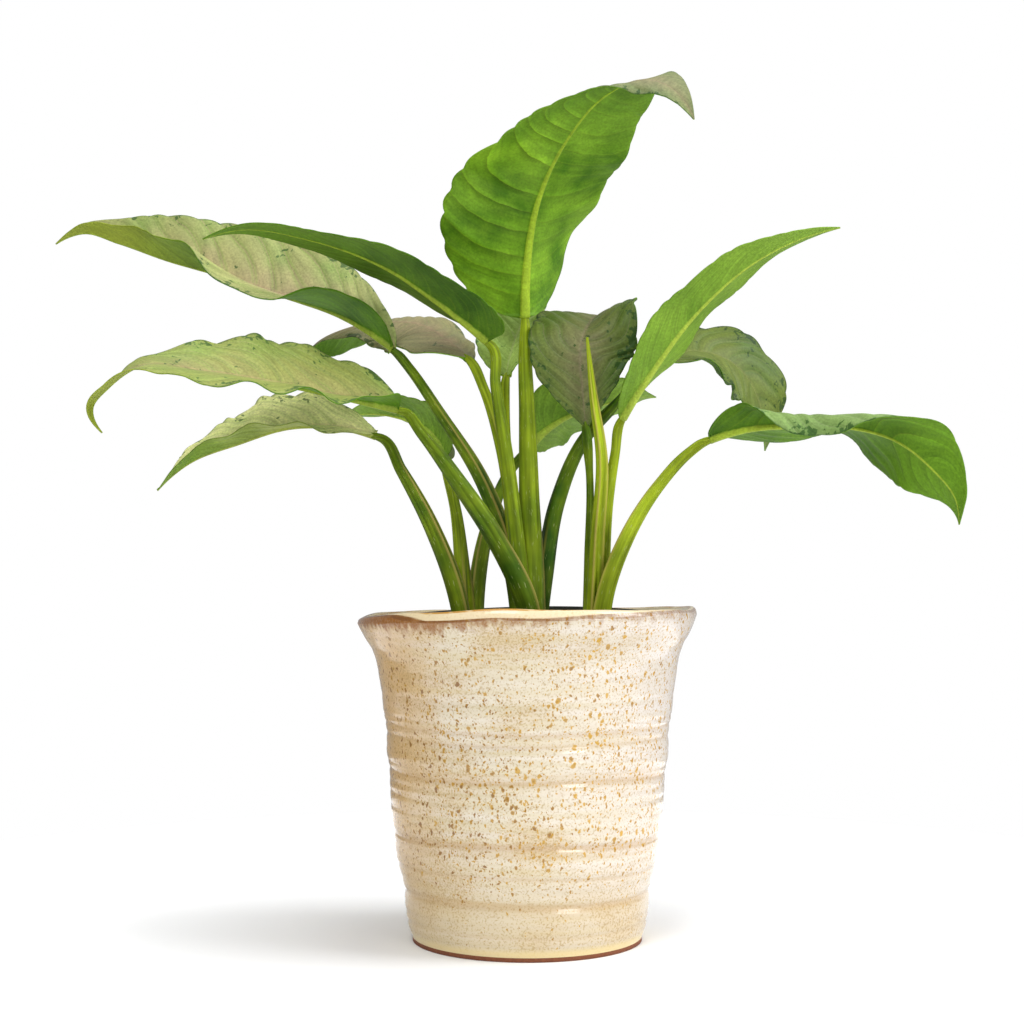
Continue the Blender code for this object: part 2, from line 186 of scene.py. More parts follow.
def make_sky():
    """White to the eye, dimmer as a light, so that the lamps give the plant its shape."""
    world = bpy.data.worlds.new("studio")
    world.use_nodes = True
    tree = world.node_tree
    tree.nodes.clear()
    node = partial(add_node, tree)
    seen = node("LightPath")
    strength = node("Mix", seen, SKY_LIGHT, SKY_SEEN)
    sky = node("Background", linear("#FFFFFF"), strength)
    output = tree.nodes.new("ShaderNodeOutputWorld")
    tree.links.new(sky, output.inputs["Surface"])
    bpy.context.scene.world = world


def add_light(name, place, target, wide, high, watts):
    """A rectangular lamp that points at its target; places and sizes are in metres."""
    data = bpy.data.lights.new(name, "AREA")
    data.shape = "RECTANGLE"
    data.size = wide
    data.size_y = high
    data.energy = watts
    light = add_object(name, data)
    light.location = place
    light.rotation_euler = (Vector(target) - Vector(place)).to_track_quat("-Z", "Y").to_euler()


make_floor()
make_sky()
add_light("overhead_softbox", (-0.10, -0.10, 1.5), (0, 0, 0.25), 0.9, 0.9, 7)
add_light("right_softbox", (1.05, -0.20, 0.95), (0, 0, 0.15), 0.85, 0.85, 14)
add_light("front_softbox", (-0.35, -1.00, 1.05), (0, 0, 0.22), 0.5, 0.5, 7)
add_light("window_glint", (0.60, -0.80, 0.13), (0, 0, 0.13), 0.36, 0.14, 1.8)


# %% [markdown]
# ### From a bmesh to a finished piece
#
# Every piece is shaped as a bmesh, then rides on the plant's one body and stands for its CAD node. The
# turned pieces are spun from a profile. The grown ones follow smooth curves through a few given points.

# %% Finished pieces
def new_piece(name, shape, materials, node):
    """Turns a bmesh into an object that rides on the plant's one body and stands for its CAD node."""
    piece = add_object(name, shape)
    piece.data.shade_smooth()
    for material in materials:
        piece.data.materials.append(material)
    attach(piece, "root")
    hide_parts(node)
    print(name, "faces:", len(piece.data.polygons))
    return piece


def turn(shape, profile, steps, x=0, y=0):
    """Spins (radius, height) points in mm about an upright axis at x and y into a closed shell."""
    row = [shape.verts.new((radius * MM, 0, height * MM)) for radius, height in profile]
    edges = [shape.edges.new(pair) for pair in zip(row, row[1:])]
    bmesh.ops.spin(shape, geom=row + edges, cent=(0, 0, 0), axis=(0, 0, 1), angle=math.tau, steps=steps,
        use_merge=True)
    bmesh.ops.remove_doubles(shape, verts=shape.verts, dist=1e-6)
    bmesh.ops.recalc_face_normals(shape, faces=shape.faces)
    bmesh.ops.translate(shape, verts=shape.verts, vec=(x * MM, y * MM, 0))


def knots_of(points):
    """Each point's share of the way along the line through the points."""
    steps = np.linalg.norm(np.diff(points, axis=0), axis=1)
    return np.concatenate([[0], np.cumsum(steps)]) / steps.sum()


def smooth_through(values, knots, shares):
    """The smooth curve through the values, one for each knot, read at each share of the way."""
    values = np.asarray(values, float)
    slopes = np.gradient(values, knots, axis=0, edge_order=2)
    index = np.clip(np.searchsorted(knots, shares, "right") - 1, 0, len(knots) - 2)
    span = (knots[index + 1] - knots[index])[:, None]
    way = (np.asarray(shares)[:, None] - knots[index][:, None]) / span
    return (values[index] * (1 + 2 * way) * (1 - way) ** 2 + slopes[index] * span * way * (1 - way) ** 2
            + values[index + 1] * way ** 2 * (3 - 2 * way) + slopes[index + 1] * span * way ** 2 * (way - 1))


# %% [markdown]
# ## The stoneware pot
#
# It was thrown on a wheel: pulled up in rings, flared at the lip, and dipped in a cream glaze that stops
# just above a bare red foot. Where the glaze is thin, on the outer edge of the lip, the iron in the clay
# turns it rust brown. Iron grains melt through it as ochre specks. A profile is spun round the axis, which
# keeps the rings true, and then its lip is lifted a little on one side, as on the real pot.

# %% The pot's shape
POT_FLOOR = 8
POT_INSIDE = [
    (40, POT_FLOOR), (46, POT_FLOOR + 0.6), (50, 11), (54, 34), (58, 70), (61.5, 100), (64.5, 124),
    (68, 137), (73, 148), (76.5, 153.6),
]
POT_OUTSIDE = [
    (78.8, 154.1), (80.5, 153.3), (80.9, 152.1), (80.4, 150.4), (79.2, 147.3), (77.2, 143.2), (75, 139.5),
    (72.6, 134), (71, 126),
    (69.2, 115), (68.2, 106), (66.8, 97), (66.5, 88), (65.4, 80), (64.2, 66), (62.6, 48), (61, 37),
    (59, 30), (57.7, 17), (55.8, 6), (54.4, 2.6), (54.2, 0),
]
POT_STEPS = 160
RIM_SLOPE = 1.3
RIM_WAVE = 0.7
RIM_START = 118
RIM_TOP = 154
LIP_EDGE = 152.6
LIP_FOLD = 2.3
LIP_DIP = 1.5
LIP_DIP_FROM = 146
# Small ripples of the rim: height in mm, how many there are, and their start in radians
RIM_RIPPLES = [(0.25, 7, 1), (0.2, 11, 2)]
GLAZE_LINE = 2.2
# Grooves between the throwing rings: height, depth and half width in mm
GROOVES = [
    (139, 0.2, 1.5), (128, 0.15, 1.6), (116, 0.2, 1.5), (106, 0.3, 1.2), (102.5, 0.45, 1.1), (100, 0.3, 5),
    (97, 0.4, 1.1), (91, 0.2, 1.3), (84, 0.3, 1.1), (80.5, 0.45, 1.2), (80, 0.4, 5), (75, 0.2, 1.2),
    (70, 0.3, 1.1), (63.5, 0.2, 1.2), (57, 0.3, 1.1), (51, 0.55, 1.3), (50, 0.45, 5), (46.5, 0.2, 1.1),
    (41, 0.25, 1.1), (36.5, 0.6, 1.4), (30, 0.2, 1.2), (24, 0.6, 1.4), (23, 0.5, 4), (19, 0.2, 1.1),
    (14, 0.3, 1.2), (10, 0.5, 1.4),
]


def throwing_rings(height):
    """How deep the surface lies between the rings that the fingers left, in mm, at each height."""
    return sum(depth * math.exp(-((height - middle) / wide) ** 2) for middle, depth, wide in GROOVES)


def pot_profile():
    """Inside and outside as one line, with its points crowded at the lip."""
    points = np.array(POT_INSIDE + POT_OUTSIDE, float)
    parts = [np.linspace(0, 0.46, 60), np.linspace(0.465, 0.53, 32), np.linspace(0.534, 1, 150)]
    return smooth_through(points, knots_of(points), np.concatenate(parts))


# %% The pot itself
def rim_lift(angle, height):
    """The lift of the wall in mm: a slope and waves all round, a fold at the front and a dip at the left."""
    lift = RIM_SLOPE * math.cos(angle) + RIM_WAVE * math.sin(3 * angle + 0.5)
    lift += sum(high * math.sin(count * angle + start) for high, count, start in RIM_RIPPLES)
    lift *= max(0, (height - RIM_START) / (RIM_TOP - RIM_START))
    folded = LIP_FOLD * ((1 - math.sin(angle)) / 2) ** 1.5
    lift += folded * min(1, max(0, (height - LIP_EDGE) / (RIM_TOP - LIP_EDGE)))
    dipped = LIP_DIP * max(0, -math.cos(angle)) ** 8
    return lift - dipped * min(1, max(0, (height - LIP_DIP_FROM) / (RIM_TOP - LIP_DIP_FROM)))


def make_pot(materials):
    """Spins the profile, presses the rings into its outside, and waves its wall and lip as a hand would."""
    line = pot_profile()
    run = np.concatenate([[0], np.cumsum(np.linalg.norm(np.diff(line, axis=0), axis=1))])
    run -= run[np.argmax(line[:, 1])]
    shape = bmesh.new()
    turn(shape, [(0, POT_FLOOR), *line, (0, 0)], POT_STEPS)
    run_layer = shape.verts.layers.float.new("run")
    groove_layer = shape.verts.layers.float.new("groove")
    for vertex in shape.verts:
        radius = math.hypot(vertex.co.x, vertex.co.y) / MM
        height = vertex.co.z / MM
        angle = math.atan2(vertex.co.y, vertex.co.x)
        nearest = np.argmin((line[:, 0] - radius) ** 2 + (line[:, 1] - height) ** 2)
        vertex[run_layer] = run[nearest]
        vertex.co.z += rim_lift(angle, height) * MM
        # The rings waver up and down by about a millimetre, and the wall is out of round by half of one
        waver = 0.9 * math.sin(angle + height / 40) + 0.5 * math.sin(3 * angle - height / 17)
        sway = 0.35 * math.sin(2 * angle + height / 37) + 0.2 * math.sin(5 * angle - height / 23)
        groove = float(run[nearest] > 0) * min(1, radius / 50) * throwing_rings(height + waver)
        vertex[groove_layer] = groove
        if radius > 1:
            grown = 1 + (sway * min(1, height / 20) - groove) / radius
            vertex.co.x *= grown
            vertex.co.y *= grown
    for face in shape.faces:
        face.material_index = int(face.calc_center_median().z < GLAZE_LINE * MM)
    return new_piece("pot_glazed", shape, materials, "pot")


# %% [markdown]
# ### Its glaze and its bare foot
#
# A glossy stoneware glaze is glass over clay: low roughness and an IOR of about 1.5, with its colour under
# it. The specks are cells of three Voronoi patterns, from 1.3 to 3.6 mm apart, of which only the middles
# are painted, larger or smaller by a slow noise. The patterns read the object's own coordinates, so they
# have no seam.

# %% The ground of the glaze
def glaze_ground(node, place, spot, groove):
    """Cream in soft bands with more tones over it. Also gives the bands and the grain, for the relief."""
    bands = node("TexNoise", node("Mapping", place, Scale=(16, 16, 260)), 1.0, 4.0)
    clouds = node("TexNoise", place, 30.0, 3.0)
    grain = node("TexNoise", place, 1100.0, 2.0)
    part = node("MapRange", bands, 0.36, 0.64, 0, 0.8)
    colour = node("Mix RGBA", part, linear("#DBD2C2"), linear("#CFC19D"))
    # Painted light: cooler and whiter on the right, where the lamp on the right falls.
    # Stained ochre down the left side
    colour = tint(node, colour, spot["X"], 0.0, 0.07, 0.6, "#D5CFD1")
    stain = node("MapRange", spot["X"], -0.036, -0.064, 0, 1.4)
    stain = node("Math MULTIPLY", stain, clouds, use_clamp=True)
    colour = node("Mix RGBA", stain, colour, linear("#CE983A"))
    # Smoky brown clouds, mostly on the left, where they also paint the shade of that side.
    # Painted shade: tan in the grooves and towards the foot
    left = node("MapRange", spot["X"], -0.075, 0.06, 0.14, -0.04)
    clouds = node("MapRange", node("Math ADD", clouds, left), 0.52, 0.80, 0, 0.6)
    colour = node("Mix RGBA", clouds, colour, linear("#C4A674"))
    colour = tint(node, colour, groove, 0.25, 0.8, 0.55, "#B8966A")
    colour = tint(node, colour, spot["Z"], 0.050, 0.015, 0.45, "#C6B084")
    # Fine ochre stippling, thickest where the clouds are
    stipple = node("Math MULTIPLY_ADD", clouds, 0.16, grain)
    return tint(node, colour, stipple, 0.52, 0.68, 0.6, "#A98A50"), bands, grain


# %% Its specks
# Spacing of the specks in mm, and the radius of the smallest and the largest as a share of it
SPECKS = [(3.6, -0.20, 0.34), (2.0, -0.01, 0.47), (1.3, -0.10, 0.42)]


def glaze_specks(node, place, spot, colour):
    """Ochre and brown specks in three sizes, with wavering outlines."""
    # Fewer of them near the foot and under the lip
    low = node("MapRange", spot["Z"], 0.012, 0.050, -0.22, 0.0)
    high = node("MapRange", spot["Z"], 0.110, 0.150, 0.0, -0.04)
    fewer = node("Math ADD", low, high)
    wobble = node("TexNoise", place, 520.0, 1.0).node.outputs["Color"]
    wobble = node("VectorMath MULTIPLY_ADD", wobble, (0.0022, 0.0022, 0.0022), place)
    # Painted light: the specks are lighter and more golden on the right, where the light falls
    golden_where_lit = node("MapRange", spot["X"], -0.05, 0.03, 0.05, -0.5)
    for spacing, smallest, largest in SPECKS:
        drawn = node("Mapping", wobble, Location=(spacing, 0, 0), Scale=(1, 1, 0.74))
        cells = node("TexVoronoi", drawn, 1 / (spacing * MM)).node.outputs
        chance = node("SeparateColor", cells["Color"]).node.outputs
        patch = node("MapRange", node("TexNoise", drawn, 42.0, 1.0), 0.3, 0.7, -0.08, 0.06)
        reach = node("Math ADD", node("MapRange", chance["Red"], 0, 1, smallest, largest), patch)
        reach = node("Math ADD", reach, fewer)
        inner = node("Math SUBTRACT", reach, cells["Distance"])
        mask = node("MapRange SMOOTHSTEP", inner, -0.03, 0.09, 0, 0.9)
        browner = node("Math MULTIPLY_ADD", inner, 2.2, golden_where_lit)
        browner = node("Math MULTIPLY_ADD", chance["Green"], 0.75, browner, use_clamp=True)
        speck = node("Mix RGBA", browner, linear("#C29628"), linear("#7C5018"))
        colour = node("Mix RGBA", mask, colour, speck)
    return colour


# %% Its lip
def glaze_lip(node, place, spot, run, grain, colour):
    """The crest and the rust edge of the lip. The run is the way along the wall from the crest, in mm."""
    # The crest is warm cream, narrower towards both sides, with broken ochre lines along it
    for near, far, narrower in ((-0.045, -0.074, 3.6), (0.000, 0.070, 2.2)):
        aside = node("MapRange", spot["X"], near, far, 0, narrower)
        run = node("Math ADD", aside, run)
    colour = tint(node, colour, run, 3.3, 2.7, 0.75, "#EBD7AE")
    broken = node("TexNoise", node("Mapping", place, Scale=(110, 110, 500)), 1.0, 4.0)
    broken = node("MapRange", broken, 0.36, 0.52)
    line = node("Math MULTIPLY", node("Math COMPARE", run, 0.6, 0.6), broken)
    colour = node("Mix RGBA", line, colour, linear("#BE8A3E"))
    # The thin glaze over the outer edge of the lip is rust brown, widest at the left
    ragged = node("TexNoise", node("Mapping", place, Scale=(330, 330, 120)), 1.0, 5.0)
    ragged = node("MapRange", ragged, 0.3, 0.7, -3.2, 3.2)
    reach = node("Math ADD", node("MapRange", spot["X"], -0.070, 0.0, 8.8, 4.0), ragged)
    inner = node("Math SUBTRACT", reach, run)
    rust = node("MapRange SMOOTHSTEP", inner, -3.5, 2.5)
    start = node("MapRange SMOOTHSTEP", run, 2.6, 3.2)
    strength = node("MapRange", spot["X"], -0.06, 0.05, 1.0, 0.4)
    mottle = node("MapRange", grain, 0.35, 0.6, 0.85, 1.0)
    strength = node("Math MULTIPLY", strength, mottle)
    for part in (start, strength):
        rust = node("Math MULTIPLY", rust, part)
    colour = node("Mix RGBA", rust, colour, linear("#8C540A"))
    line = node("Math COMPARE", run, 3.5, 0.6)
    for part in (broken, strength):
        line = node("Math MULTIPLY", line, part)
    return node("Mix RGBA", line, colour, linear("#7A4A1C"))


# %% The whole glaze and the bare foot
def stoneware_glaze():
    """Speckled cream stoneware glaze, dipped and fired: glossy, and rust brown where it is thin."""
    material, node, place = new_material("speckled_stoneware_glaze", Roughness=0.15, IOR=1.5)
    spot = node("SeparateXYZ", place).node.outputs
    run, groove = [node("Attribute " + name).node.outputs["Fac"] for name in ("run", "groove")]
    colour, bands, grain = glaze_ground(node, place, spot, groove)
    colour = glaze_specks(node, place, spot, colour)
    colour = glaze_lip(node, place, spot, run, grain, colour)
    # A thick roll of yellowish glaze stands just above the foot
    colour = tint(node, colour, spot["Z"], 0.0065, 0.004, 0.8, "#E3CF98")
    rough = node("Math MULTIPLY_ADD", grain, 0.3, bands)
    bump = node("Bump", Strength=0.22, Distance=0.0005, Height=rough)
    return connect(material, Base_Color=colour, Normal=bump)


# Red earthenware body, left bare under the foot: matt and slightly gritty
terracotta = grainy("bare_terracotta", 0.85, 900.0, 4.0, "#623420", "#915636", 0.4, 0.0003)
make_pot([stoneware_glaze(), terracotta])

# %% [markdown]
# ## The grower's pot and its soil
#
# The grower's pot is thin black polypropylene, drawn hot into a mould, with a turned-out rim. Only that rim
# shows behind the lip. Six holes let it drain. The soil is peat with bark and a few white grains of
# perlite: a low crown that is pushed up and down by a noise, with loose crumbs on it.

# %% Grower's pot
POTTING_X = 5
NURSERY_FOOT = 8.3
NURSERY_FLOOR = 1.4
NURSERY_WALL = 1.3
NURSERY_TOP = 156.5
NURSERY_NECK = 149.5
NURSERY_BASE_RADIUS = 40
NURSERY_TOP_RADIUS = 57
NURSERY_LIP_RADIUS = 60.5
NURSERY_STEPS = 120
RIM_SAG = 1.9
RIM_SAG_WAVE = 1.2
RIM_SAG_TURN = 2.8
DRAIN_RADIUS = 4
DRAIN_RING = 27
DRAIN_COUNT = 6


def black_polypropylene():
    """Black polypropylene, thermoformed: low gloss, with a faint orange-peel surface and some dust."""
    material, node, place = new_material("black_polypropylene", Roughness=0.42, IOR=1.49)
    dust = node("TexNoise", place, 160.0, 5.0)
    part = node("MapRange", dust, 0.5, 0.8, 0, 0.5)
    colour = node("Mix RGBA", part, linear("#1B1B1D"), linear("#4A443D"))
    bump = node("Bump", Strength=0.2, Distance=0.0002, Height=dust)
    return connect(material, Base_Color=colour, Normal=bump)


# %% Its shape and its drain holes
def make_nursery_pot(material):
    """Spins the thin wall with its turned-out rim, lets the rim sag a little, and drills the drain holes."""
    wall = NURSERY_WALL
    lip = NURSERY_LIP_RADIUS
    profile = [
        (0, NURSERY_FOOT + NURSERY_FLOOR), (NURSERY_BASE_RADIUS - wall, NURSERY_FOOT + NURSERY_FLOOR),
        (NURSERY_TOP_RADIUS - wall, NURSERY_NECK), (lip - 2 * wall, NURSERY_NECK + wall),
        (lip - wall, NURSERY_TOP - 0.4), (lip - wall * 0.7, NURSERY_TOP), (lip - wall * 0.3, NURSERY_TOP),
        (lip, NURSERY_TOP - 0.4), (lip, NURSERY_NECK), (NURSERY_TOP_RADIUS, NURSERY_NECK - wall),
        (NURSERY_BASE_RADIUS, NURSERY_FOOT), (0, NURSERY_FOOT),
    ]
    shape = bmesh.new()
    turn(shape, profile, NURSERY_STEPS, POTTING_X)
    for vertex in shape.verts:
        if vertex.co.z > (NURSERY_NECK + wall / 2) * MM:
            angle = math.atan2(vertex.co.y, vertex.co.x - POTTING_X * MM)
            vertex.co.z += (RIM_SAG_WAVE * math.cos(2 * angle - RIM_SAG_TURN) - RIM_SAG) * MM
    piece = new_piece("grower_pot", shape, [material], "nursery_pot")
    holes = bmesh.new()
    for index in range(DRAIN_COUNT):
        angle = math.tau * index / DRAIN_COUNT
        spot = (POTTING_X + DRAIN_RING * math.cos(angle), DRAIN_RING * math.sin(angle), NURSERY_FOOT)
        bmesh.ops.create_cone(holes, cap_ends=True, segments=24, radius1=DRAIN_RADIUS * MM,
            radius2=DRAIN_RADIUS * MM, depth=8 * MM, matrix=Matrix.Translation([part * MM for part in spot]))
    cutter = add_object("drain_holes", holes)
    drill = piece.modifiers.new("drill", "BOOLEAN")
    drill.object = cutter
    graph = bpy.context.evaluated_depsgraph_get()
    drilled = bpy.data.meshes.new_from_object(piece.evaluated_get(graph))
    piece.modifiers.clear()
    piece.data = drilled
    drilled.set_sharp_from_angle(angle=math.radians(35))
    bpy.data.objects.remove(cutter)
    print("drilled faces:", len(drilled.polygons))


make_nursery_pot(black_polypropylene())

# %% Soil
SOIL_TOP = 143
SOIL_CROWN = 2
SOIL_RADIUS = 54.2
SOIL_FOOT = 10
SOIL_FOOT_RADIUS = 38.1
CRUMBS = 520
PERLITE_SHARE = 0.1
SOIL_STEPS = 120
SOIL_RINGS = 36
CRUMB_SEED = 11
# Smallest and largest crumb in mm
CRUMB_SIZES = (0.6, 2.1)


def make_soil(materials):
    """A low crown of peat, pushed up and down by a noise, with loose crumbs and grains of perlite on it."""
    rings = [(0, SOIL_TOP + SOIL_CROWN)]
    for share in np.linspace(0.03, 1, SOIL_RINGS):
        rings.append((SOIL_RADIUS * share, SOIL_TOP + SOIL_CROWN * (1 - share ** 2)))
    shape = bmesh.new()
    turn(shape, [*rings, (SOIL_FOOT_RADIUS, SOIL_FOOT), (0, SOIL_FOOT)], SOIL_STEPS, POTTING_X)
    for vertex in shape.verts:
        if vertex.co.z > (SOIL_TOP - 1) * MM:
            vertex.co.z += (noise.fractal(vertex.co * 90, 0.8, 2.0, 4) * 1.3 - 0.6) * MM
    draw = np.random.default_rng(CRUMB_SEED)
    for _ in range(CRUMBS):
        out, angle = 0.97 * SOIL_RADIUS * math.sqrt(draw.random()), math.tau * draw.random()
        size = draw.uniform(*CRUMB_SIZES)
        height = SOIL_TOP + SOIL_CROWN * (1 - (out / SOIL_RADIUS) ** 2) - 0.3
        spot = Vector((POTTING_X + out * math.cos(angle), out * math.sin(angle), height)) * MM
        tilt = Matrix.Rotation(draw.uniform(0, 3), 4, Vector(draw.normal(size=3)).normalized())
        flat = Matrix.Diagonal((size, size * draw.uniform(0.5, 1), size * draw.uniform(0.3, 0.8), 1 / MM))
        matrix = Matrix.Translation(spot) @ tilt @ (flat * MM)
        made = bmesh.ops.create_icosphere(shape, subdivisions=1, radius=1, matrix=matrix)
        white = int(draw.random() < PERLITE_SHARE)
        for face in {face for vertex in made["verts"] for face in vertex.link_faces}:
            face.material_index = white
    return new_piece("potting_soil", shape, materials, "soil")


# Damp peat and bark: matt, dark, crumbly at about 1 mm
peat = grainy("peat_potting_mix", 0.95, 700.0, 6.0, "#1C130C", "#5A4330", 0.8, 0.001)
# Expanded volcanic glass: chalky white and rough, with pores too fine for a relief
perlite = grainy("perlite", 0.9, 1500.0, 3.0, "#B9B3A6", "#F2EFE6")
make_soil([peat, perlite])

# %% [markdown]
# ## Blades
#
# A blade is a thin sheet hung on its midrib. Each one below gives its midrib as a few stations: place, how
# far the left and the right half rise from it, and how far the right half rolls on. A flat grid is bent to
# those stations, with columns crowded towards the midrib. Side veins leave the midrib, sweep forward and
# end at the margin, and the sheet puckers between them, which also scallops the margin. Solidify then gives
# it its thickness, and most of that at the midrib, which stands out beneath as a ridge.

# %% The sizes of all blades
BLADE_THICK = 0.5
BLADE_ROWS = 130
BLADE_COLUMNS = 56
COLUMN_CROWDING = 1.45
BASE_HALF_WIDTH = 1.6
TIP_HALF_WIDTH = 0.35
TIP_TAPER = 0.3
# The rib below the midrib, in mm: height and half width at the base and at the tip, and how fast they
# shrink
RIB_THICK = (3.0, 0.55)
RIB_HALF_WIDTH = (2.0, 0.3)
RIB_SHRINK = 2.2
ROLL_STEPS = 8

# %% Each blade's own sizes
# pleats: height of the puckers on the left and the right half in mm. veins: how many to a side. lean: how
# far they sweep forward, as a share of the length, and bend: how late they do so. wave: height of the
# margin's waves in mm, and how many. arch: how far each half bulges, in mm. scallop: how much the margin
# follows the puckers. halves: how wide the left and the right half are, at even steps from the base to the
# tip. blunt and full: the outline's fullness before and after its widest place. sweep: how far the margins
# stand forward of the midrib. stations: x, y, z in mm, how far the left and the right half rise in degrees,
# and how far the right one rolls on, if it does. What a blade leaves out is as usual.
# The pleats also set how strongly their light and shade are painted beneath.
USUAL = dict(blunt=0.5, full=2, sweep=0.0, veins=12, lean=0.2, bend=1.6, pleats=(0.5, 0.5), wave=(1.0, 4),
    arch=(1.0, 1.0), scallop=(0.04, 0.04), halves=[(1, 1), (1, 1)], upper="silver", under="fresh")
LEAVES = {
    "leaf_01": dict(heading=-90, half_width=42, widest=0.27, blunt=0.55, pleats=(0.7, 2.0), veins=17,
        lean=0.07, bend=2.6, wave=(1.8, 5), arch=(0.5, 2.0), scallop=(0.02, 0.045),
        halves=[(0.8, 1), (1, 1), (0.97, 0.9), (0.95, 0.5), (0.6, 0.9)], upper="tawny",
        stations=[(-1, 0, 295, 45, 20), (0, -6, 322, 60, 5), (5, -16, 348, 46, -8),
            (18, -32, 373, 22, -28), (35, -50, 389, 8, -25), (50, -62, 393, 5, -42),
            (62, -72, 387, 10, -8), (72, -82, 370, 10, 10)]),
    "leaf_02": dict(heading=180, half_width=34, widest=0.30, blunt=0.42, sweep=0.5,
        halves=[(1.0, 0.5), (0.75, 0.95), (0.92, 1), (0.95, 1.25), (1, 0.9)], pleats=(1.0, 1.2),
        veins=14, lean=0.12, wave=(1.6, 5), arch=(1.5, 1.0), under="mossy",
        stations=[(-64, 8, 281, 34, 80), (-87, 16, 297, 6, 74), (-123, 26, 311, -18, 70),
            (-154, 36, 322, 12, 72), (-182, 45, 331, 26, 76), (-208, 53, 341, 36, 80),
            (-228, 58, 347, 40, 70), (-242, 60, 342, 20, 30)]),
    "leaf_03": dict(heading=180, half_width=22, widest=0.34, blunt=0.36, sweep=-0.3,
        halves=[(1.25, 1), (1, 1), (1, 1)], pleats=(0.45, 0.3), veins=15, lean=0.25, wave=(0.6, 3),
        arch=(0.5, 0.0), under="dark",
        stations=[(-19, -4, 284, 32, 10), (-42, -12, 301, 24, -4), (-66, -18, 316, 18, -9),
            (-103, -22, 329, 9, -10), (-135, -24, 333, 10, -6), (-152, -22, 329, 8, 0)]),
    "leaf_04": dict(heading=180, half_width=28, widest=0.40, pleats=(0.5, 0.8), veins=14, lean=0.25,
        wave=(2.3, 6), scallop=(0.05, 0.06), upper="straw", under="mossy",
        halves=[(1.3, 1), (1, 1), (1, 1), (1, 1)],
        stations=[(-61, -18, 250, 28, 62), (-88, -30, 255, -6, 50), (-113, -43, 259, -8, 48),
            (-145, -58, 263, -16, 36), (-171, -68, 264, -18, 18), (-184, -72, 254, 0, 20),
            (-191, -72, 245, 20, 30), (-187, -71, 234, 20, 40)]),
    "leaf_05": dict(heading=180, half_width=22, widest=0.42, blunt=1.2, pleats=(0.6, 0.9), lean=0.25,
        wave=(1.6, 5), arch=(0.5, 1.0), scallop=(0.03, 0.13),
        halves=[(0.72, 1.1), (0.6, 1.1), (0.6, 1.2)], upper="light", under="pale",
        stations=[(-72, 0, 239, -20, 60), (-91, -3, 243, -22, 50), (-113, -6, 242, 2, 47),
            (-137, -8, 234, 26, 43), (-160, -7, 225, 32, 40), (-176, -4, 212, 10, 20)]),
    "leaf_06": dict(heading=175, half_width=24, widest=0.42, pleats=(1.0, 0.9), veins=15, lean=0.15,
        wave=(1.3, 5), arch=(1.2, 1.2), upper="rosy", halves=[(1, 1), (1, 1), (0.8, 1.2), (0.35, 1.5)],
        stations=[(-28, 8, 277, -30, -5), (-40, 19, 288, -48, 16), (-54, 33, 297, -50, 16),
            (-70, 42, 299, -44, 12), (-90, 47, 297, -32, -20), (-107, 49, 289, -25, -45),
            (-116, 52, 277, -10, -45)]),
    "leaf_07": dict(heading=170, half_width=17, widest=0.36, upper="dull", under="bright",
        stations=[(-40, 24, 229, 50, 20), (-48, 30, 243, 45, 5), (-66, 36, 251, 30, 0),
            (-86, 40, 252, 20, 0), (-98, 40, 248, 10, 0)]),
    "leaf_08": dict(heading=90, half_width=17, widest=0.34, upper="pale",
        halves=[(1.1, 0.5), (1.1, 0.5), (0.9, 0.6)],
        stations=[(-10, 16, 269, 20, 50), (-6, 20, 286, 0, 30), (2, 26, 304, 0, 10),
            (10, 30, 320, 10, 0), (15, 32, 332, 10, 0)]),
    "leaf_09": dict(heading=90, half_width=25, widest=0.50, blunt=1.15, full=3, pleats=(1.9, 1.9),
        veins=11, lean=0.25, wave=(1.6, 3), arch=(1.5, 1.0), upper="smoky",
        halves=[(1, 1), (1, 1), (1, 1), (1.3, 1.1), (1, 1)],
        stations=[(28, -2, 243, 20, 14), (26, -8, 262, 4, 4), (25, -10, 276, 0, 0),
            (27, -6, 286, 0, 8), (31, 4, 294, 0, 30), (36, 20, 299, 0, 20),
            (41, 36, 292, 0, 0)]),
    "leaf_10": dict(heading=-20, half_width=22, widest=0.45, blunt=0.55, full=4, wave=(1.4, 4),
        arch=(0.6, 0.6), under="bright",
        stations=[(2, 38, 237, -8, 60), (18, 44, 250, -14, 55), (36, 48, 257, -14, 42),
            (54, 50, 262, -10, 22), (66, 50, 262, 0, 10)]),
    "leaf_11": dict(heading=-40, half_width=17, widest=0.40, blunt=0.9, pleats=(0.4, 0.4), veins=15,
        lean=0.3, wave=(1.3, 3), arch=(0.3, 0.3), under="bright",
        stations=[(45, -4, 247, 30, 10), (56, -17, 264, 15, 14), (80, -27, 295, 12, 20),
            (106, -31, 317, 10, 22), (128, -31, 328, 10, 20), (145, -29, 333, 10, 20)]),
    "leaf_12": dict(heading=0, half_width=26, widest=0.42, blunt=1.0, pleats=(1.9, 1.9), veins=11,
        wave=(2.2, 5), upper="shaded_grey", under="dark", scallop=(0.07, 0.05),
        halves=[(0.5, 0.8), (0.6, 1.15), (1.1, 1.3), (2.5, 1.3)],
        stations=[(46, 18, 260, 30, 10), (63, 28, 276, 32, -15), (83, 38, 284, 40, -30),
            (101, 46, 281, 50, -36), (114, 52, 270, 58, -36), (120, 55, 255, 50, -30),
            (122, 56, 235, 20, -10)]),
    "leaf_13": dict(heading=0, half_width=24, widest=0.55, blunt=0.62, full=3, pleats=(1.2, 1.1),
        wave=(1.9, 4), arch=(0.8, 0.0), upper="sage", under="dark",
        halves=[(1, 1), (1, 1), (1, 1.05), (1, 0.75)],
        stations=[(87, -4, 237, 0, 30), (105, -14, 241, -25, 45), (126, -26, 241, -4, 62, -150),
            (148, -39, 239, -16, 62, -165), (166, -50, 232, -38, 62, -90), (179, -58, 220, -35, 62),
            (190, -62, 204, -20, 30), (191, -62, 194, 0, 0)]),
}
LEAVES = {name: USUAL | leaf for name, leaf in LEAVES.items()}
